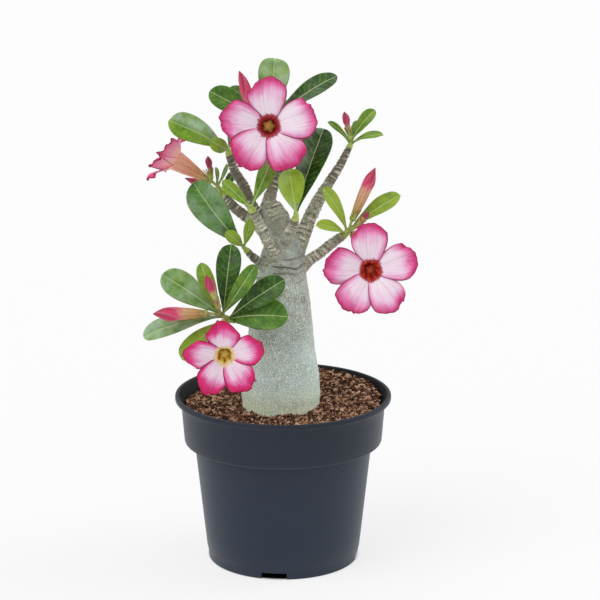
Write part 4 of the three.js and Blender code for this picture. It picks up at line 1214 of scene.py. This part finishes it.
# a petal of satin cells: pale at the heart, pink outwards, a crimson rim that runs inwards
# in fine streaks between the veins, and a thin dark edge
def satinPetal(name, look):
    material, add, shader = startMaterial("satinPetal_" + name, 0.5, 1.42)
    x, t, under = add("SeparateXYZ", [add("Attribute", [], out=1, attribute_name="place")]).node.outputs
    own, blush, _ = add("SeparateXYZ", [add("Attribute", [], out=1, attribute_name="look")]).node.outputs
    spread = add("CombineXYZ", [x, t, own])
    fan = add("VectorMath", [spread, (9, 0.9, 30)], operation="MULTIPLY")
    streak = add("TexNoise", {"Vector": fan, "Scale": 1.6, "Detail": 3, "Roughness": 0.7})
    blurred = add("VectorMath", [spread, (1, 1.6, 9)], operation="MULTIPLY")
    cloud = add("TexNoise", {"Vector": blurred, "Scale": 1.5})
    across = add("Math", [x], operation="ABSOLUTE")
    sides = add("Math", [across, look["sidePower"]], operation="POWER")
    sides = add("Math", [sides, add("Math", [t, 0.3, look["sideLow"]], operation="MULTIPLY_ADD")],
                operation="MULTIPLY")
    rim = add("Math", [t, look["tipPower"]], operation="POWER")
    rimness = add("Math", [sides, rim, 0.25], operation="SMOOTH_MAX")
    streaks = add("MapRange", [streak, 0, 1, -0.5 * look["streaks"], 0.5 * look["streaks"]])
    for more in (streaks, add("MapRange", [cloud, 0, 1, -0.24, 0.24]), blush):
        rimness = add("Math", [rimness, more])
    heart = add("Math", [t, add("MapRange", [streak, 0.25, 0.75, -look["flames"], look["flames"]])])
    heart = add("MapRange", [heart, look["heartEnd"] * 0.6, look["heartEnd"], 1, 0])
    veins = add("MapRange", [streak, 0.52, 0.74, 0, 0.32])
    # a darker line down the fold of each lobe, in the vein colour: painted shade in the crease
    fold = add("Math", [add("Math", [x, -0.02])], operation="ABSOLUTE")
    fold = add("MapRange", [fold, 0.06, 0, 0, 0.3])
    below = add("Math", [under, look["under"]], operation="MULTIPLY")
    back = add("ValToRGB", [t], stops=look["back"])
    edge = add("MapRange", [across, 0.93, 0.985, 0, 0.8])
    edge = add("Math", [edge, add("MapRange", [t, 0.955, 0.99, 0, 0.8])], operation="MAXIMUM")
    tone = add("ValToRGB", [rimness], stops=look["stops"])
    for share, colour in ((heart, look["heart"]), (veins, look["vein"]), (fold, look["vein"]), (below, back),
                          (edge, look["edge"])):
        tone = add("Mix", {0: share, 6: tone, 7: colour}, out=2, data_type="RGBA")
    bump = add("Bump", {"Height": streak, "Strength": 0.3, "Distance": 0.0004})
    feedShader(shader, {"Base Color": tone, "Normal": bump, "Emission Color": tone})
    shader.inputs["Emission Strength"].default_value = look["glow"]            # light through the petals
    shader.inputs["Specular IOR Level"].default_value = 0.3
    return material


rosePetal = {
    "sidePower": 3.2, "sideLow": 0.6, "tipPower": 2.2, "streaks": 0.42, "heartEnd": 0.085, "flames": 0.08,
    "heart": "#a23236", "edge": "#861d48", "vein": "#cf86ab", "under": 0.5, "glow": 0.02,
    "stops": [(0.0, "#f2e5ef"), (0.3, "#efd5e7"), (0.48, "#eaaccf"), (0.66, "#e272a9"), (0.92, "#c72a6e")],
    "back": [(0.0, "#e2a99a"), (0.35, "#e4a9bd"), (0.9, "#d66a97")],
}
lowPetal = {
    **rosePetal, "sidePower": 2.8, "sideLow": 0.7, "tipPower": 1.75, "heartEnd": 0.125, "flames": 0.06,
    "heart": "#e6d29a", "edge": "#8c123c", "vein": "#cf6f9e",
    "stops": [(0.0, "#f4e6f1"), (0.3, "#f0cfe4"), (0.47, "#e887b9"), (0.66, "#de2f7e"), (0.95, "#c80a4e")],
    "back": [(0.0, "#e0a890"), (0.35, "#e09ab4"), (0.9, "#cf4a80")],
}
curledPetal = {
    **rosePetal, "sidePower": 2.0, "tipPower": 1.0, "streaks": 0.3, "heartEnd": 0.3, "flames": 0.1,
    "heart": "#e8a890", "edge": "#4c1028", "vein": "#b85676", "under": 0.9, "glow": 0.16,
    "stops": [(0.0, "#f0b6b4"), (0.3, "#efacc6"), (0.58, "#e47aa4"), (0.88, "#cc3e74")],
    "back": [(0.0, "#f0b29c"), (0.3, "#f2b2b8"), (0.6, "#eb92b2"), (1.0, "#d4507f")],
}
petalLooks = {"top": {**rosePetal, "heart": "#a2323f", "flames": 0.075}, "right": rosePetal,
              "low": lowPetal, "left": curledPetal}


# the tube of a bloom: salmon outside with darker stripes and a green foot, and inside the
# glowing throat with dark guide lines
def stripedTube(name, look):
    outside = [(0.0, "#b3bb62"), (0.16, "#e0cd92"), (0.38, "#e9a97c"), (0.7, "#eda58c"), (1.0, "#efae96")]
    material, add, shader = startMaterial("stripedTube_" + name, 0.5, 1.42)
    u, t, inside = add("SeparateXYZ", [add("Attribute", [], out=1, attribute_name="place")]).node.outputs
    spot = add("TexCoord", [], out="Object")
    wave = add("Math", [u, 2 * math.pi * look["stripes"]], operation="MULTIPLY")
    wave = add("Math", [wave], operation="SINE")
    mottle = add("TexNoise", {"Vector": spot, "Scale": 1 / (2.5 * mm), "Detail": 3})
    stripe = add("Math", [wave, 0.28, mottle], operation="MULTIPLY_ADD")
    fade = add("Math", [add("MapRange", [t, 1, 0.65, 0.1, 1]), add("MapRange", [t, 0.05, 0.4, 0.2, 1])],
               operation="MULTIPLY")
    dark = add("Math", [add("MapRange", [stripe, 0.4, 0.95, 0, 0.6]), fade], operation="MULTIPLY")
    guide = add("MapRange", [stripe, 0.5, 0.68, 0, look["lines"]])
    outer, inner = add("ValToRGB", [t], stops=outside), add("ValToRGB", [t], stops=look["inside"])
    outer = add("Mix", {0: dark, 6: outer, 7: "#bf5c38"}, out=2, data_type="RGBA")
    inner = add("Mix", {0: guide, 6: inner, 7: look["line"]}, out=2, data_type="RGBA")
    tone = add("Mix", {0: inside, 6: outer, 7: inner}, out=2, data_type="RGBA")
    glow = add("Mix", {0: inside, 6: "#000000", 7: inner}, out=2, data_type="RGBA")  # light through its walls
    feedShader(shader, {"Base Color": tone, "Emission Color": glow})
    shader.inputs["Emission Strength"].default_value = look["glow"]
    shader.inputs["Specular IOR Level"].default_value = 0.3
    return material


tubeLooks = {
    "top": {"inside": [(0.4, "#6d2a1c"), (0.75, "#923032"), (0.92, "#a23038"), (1.0, "#a2323f")],
            "line": "#7a1620", "lines": 0.6, "glow": 0.3, "stripes": 15},
    "right": {"inside": [(0.4, "#861610"), (0.75, "#941617"), (0.92, "#96181d"), (1.0, "#98282e")],
              "line": "#c8683a", "lines": 0.4, "glow": 0.4, "stripes": 8},
    "low": {"inside": [(0.4, "#74621a"), (0.75, "#a68e32"), (0.92, "#bca346"), (1.0, "#d0b866")],
            "line": "#8a3c1c", "lines": 0.9, "glow": 0.5, "stripes": 7},
    "left": {"inside": [(0.4, "#8a3a20"), (0.75, "#b8583f"), (1.0, "#cc7a70")],
             "line": "#8a2f22", "lines": 0.6, "glow": 0.2, "stripes": 9},
}


# dry pollen cones, brown and gold, with hairy tips
def pollenCone(name, dark, light):
    material, add, shader = startMaterial("pollenCone_" + name, 0.75, 1.4)
    spot = add("TexCoord", [], out="Object")
    mottle = add("TexNoise", {"Vector": spot, "Scale": 1 / (0.8 * mm), "Detail": 3, "Roughness": 0.7})
    tone = add("ValToRGB", [mottle], stops=[(0.35, dark), (0.65, light)])
    bump = add("Bump", {"Height": mottle, "Strength": 0.5, "Distance": 0.0003})
    feedShader(shader, {"Base Color": tone, "Normal": bump})
    return material


antherTones = {"top": ("#8c6228", "#c59648"), "right": ("#8a2418", "#bb5230"), "low": ("#ae8d38", "#d9be62"),
               "left": ("#8a4a24", "#c08a4c")}
for bloomName, bloom in blooms.items():
    bloomSeed = len(bloomName) * 3
    lobes = [makeLobe(bloom, lobe, bloomSeed + i) for i, lobe in enumerate(bloom["lobes"])]
    petals = joinPieces("petals_" + bloomName, lobes)
    finishPiece(petals, satinPetal(bloomName, petalLooks[bloomName]), "petal", "bloom_" + bloomName)
    tube = makeTube(bloom)
    tube.name = tube.data.name = "tube_" + bloomName
    finishPiece(tube, stripedTube(bloomName, tubeLooks[bloomName]), "petal", "bloom_" + bloomName)
    makeAnthers(bloomName, bloom, pollenCone(bloomName, *antherTones[bloomName]))
print("blooms ready")

budSizes = {
    "sides": 80, "steps": 56, "petals": 5, "overlap": 0.22, "twist": 1.9,
    "blur": (-0.03, -0.015, 0, 0.015, 0.03),
    "places": [0, 0.1, 0.2, 0.42, 0.55, 0.68, 0.8, 0.9, 0.97, 1],
    "plain": [0.3, 0.38, 0.46, 0.64, 0.84, 1, 0.88, 0.55, 0.2, 0.03],
    "full": [0.32, 0.52, 0.72, 0.9, 0.94, 1, 0.84, 0.48, 0.18, 0.03],
    "slim": [0.3, 0.6, 0.9, 1, 0.84, 0.62, 0.42, 0.26, 0.12, 0.03],
}


# a closed bud, its outline between plain, full and slim, with petals that lap round each other
def makeBud(name, bud, material):
    s = budSizes
    line = straight(bud["foot"], bud["tip"])
    full, slim = bud.get("full", 0), bud.get("slim", 0)
    outline = [plain * (1 - full - slim) + fat * full + thin * slim
               for plain, fat, thin in zip(s["plain"], s["full"], s["slim"])]

    def smoothRadius(t):
        return 0.5 * bud["width"] * numpy.mean([numpy.interp(t + d, s["places"], outline) for d in s["blur"]])
    rings = [(0.01, 0)] + [(smoothRadius(t), t) for t in numpy.linspace(0, 0.99, s["steps"])] + [(0.01, 1)]

    def swell(t, angle):
        turned = (s["petals"] * angle / (2 * math.pi) + s["twist"] * t) % 1
        return s["overlap"] * (turned - 0.5) * ease(bud["start"] - 0.1, bud["start"] + 0.12, t)
    piece = roundPiece("bud_" + name, line, rings, s["sides"], steady, swell)
    piece.name = piece.data.name = "closedBud_" + name
    looks = (bud.get("green", 0), bud["start"], bud.get("dark", 0))
    setAttribute(piece, "look", [looks] * len(piece.data.vertices))
    return finishPiece(piece, material, "bud", "bud_" + name)


# a closed bud: green-yellow foot, salmon tube and rolled crimson petals, with painted shade under each lapped
# edge and a painted highlight on the rise beside it
def rolledBud():
    look = {"tube": [(0.05, "#a3a552"), (0.2, "#c4a665"), (0.4, "#d4a878"), (0.65, "#e0a88e")],
            "line": "#a5673f", "leafy": "#b9bd72", "foldHighlight": "#e792a8", "lapShade": "#5c1024", "dark": "#6a2838",
            "petal": [(0.3, "#e47a92"), (0.65, "#d63c69"), (1.0, "#aa2448")], "stripes": 10, "mottleMm": 2}
    material, add, shader = startMaterial("rolledBudPetals", 0.45, 1.42)
    u, t, _ = add("SeparateXYZ", [add("Attribute", [], out=1, attribute_name="place")]).node.outputs
    green, start, dark = add("SeparateXYZ", [add("Attribute", [], out=1, attribute_name="look")]).node.outputs
    spot = add("TexCoord", [], out="Object")
    mottle = add("TexNoise", {"Vector": spot, "Scale": 1 / (look["mottleMm"] * mm), "Detail": 3})
    turned = add("Math", [t, budSizes["twist"]], operation="MULTIPLY")
    turned = add("Math", [u, budSizes["petals"], turned], operation="MULTIPLY_ADD")
    turned = add("Math", [turned], operation="FRACT")
    height = add("Math", [t, add("MapRange", [mottle, 0, 1, -0.06, 0.06])])
    height = add("Math", [turned, 0.1, height], operation="MULTIPLY_ADD")          # a lapped, slanting border
    line = add("Math", [u, 2 * math.pi * look["stripes"]], operation="MULTIPLY")
    line = add("Math", [line], operation="SINE")
    line = add("MapRange", [add("Math", [line, 0.3, mottle], operation="MULTIPLY_ADD"), 0.4, 0.8, 0, 0.4])
    leafy = add("MapRange", [add("Math", [height, green], operation="SUBTRACT"), 0.12, 0, 0, 0.85])
    leafy = add("Math", [leafy, add("MapRange", [green, 0, 0.1])], operation="MULTIPLY")
    tube = add("ValToRGB", [height], stops=look["tube"])
    for share, colour in ((line, look["line"]), (leafy, look["leafy"])):
        tube = add("Mix", {0: share, 6: tube, 7: colour}, out=2, data_type="RGBA")
    # a painted highlight on the rise of each petal towards its lapping edge, and painted shade where it tucks
    # under the next
    foldHighlight = add("MapRange", [turned, 0.5, 0.95, 0, 0.3])
    lapShade = add("MapRange", [turned, 0.14, 0, 0, 0.65])
    darkened = add("Math", [dark, 0.7], operation="MULTIPLY")
    petal = add("ValToRGB", [t], stops=look["petal"])
    for share, colour in ((foldHighlight, look["foldHighlight"]), (lapShade, look["lapShade"]), (darkened, look["dark"])):
        petal = add("Mix", {0: share, 6: petal, 7: colour}, out=2, data_type="RGBA")
    crimson = add("MapRange", [add("Math", [height, start], operation="SUBTRACT"), -0.05, 0.07])
    tone = add("Mix", {0: crimson, 6: tube, 7: petal}, out=2, data_type="RGBA")
    bump = add("Bump", {"Height": mottle, "Strength": 0.2, "Distance": 0.0003})
    feedShader(shader, {"Base Color": tone, "Normal": bump})
    return material


budFinish = rolledBud()
for budName, bud in buds.items():
    makeBud(budName, bud, budFinish)
print("buds ready")

counts = {}
for piece in bpy.data.objects:
    if piece.type == "MESH" and not piece.name.startswith("floor"):
        counts[piece.name] = sum(len(f.vertices) - 2 for f in piece.data.polygons)
most = sorted(counts.items(), key=lambda entry: -entry[1])[:4]
print("most triangles:", most, "in all", sum(counts.values()))
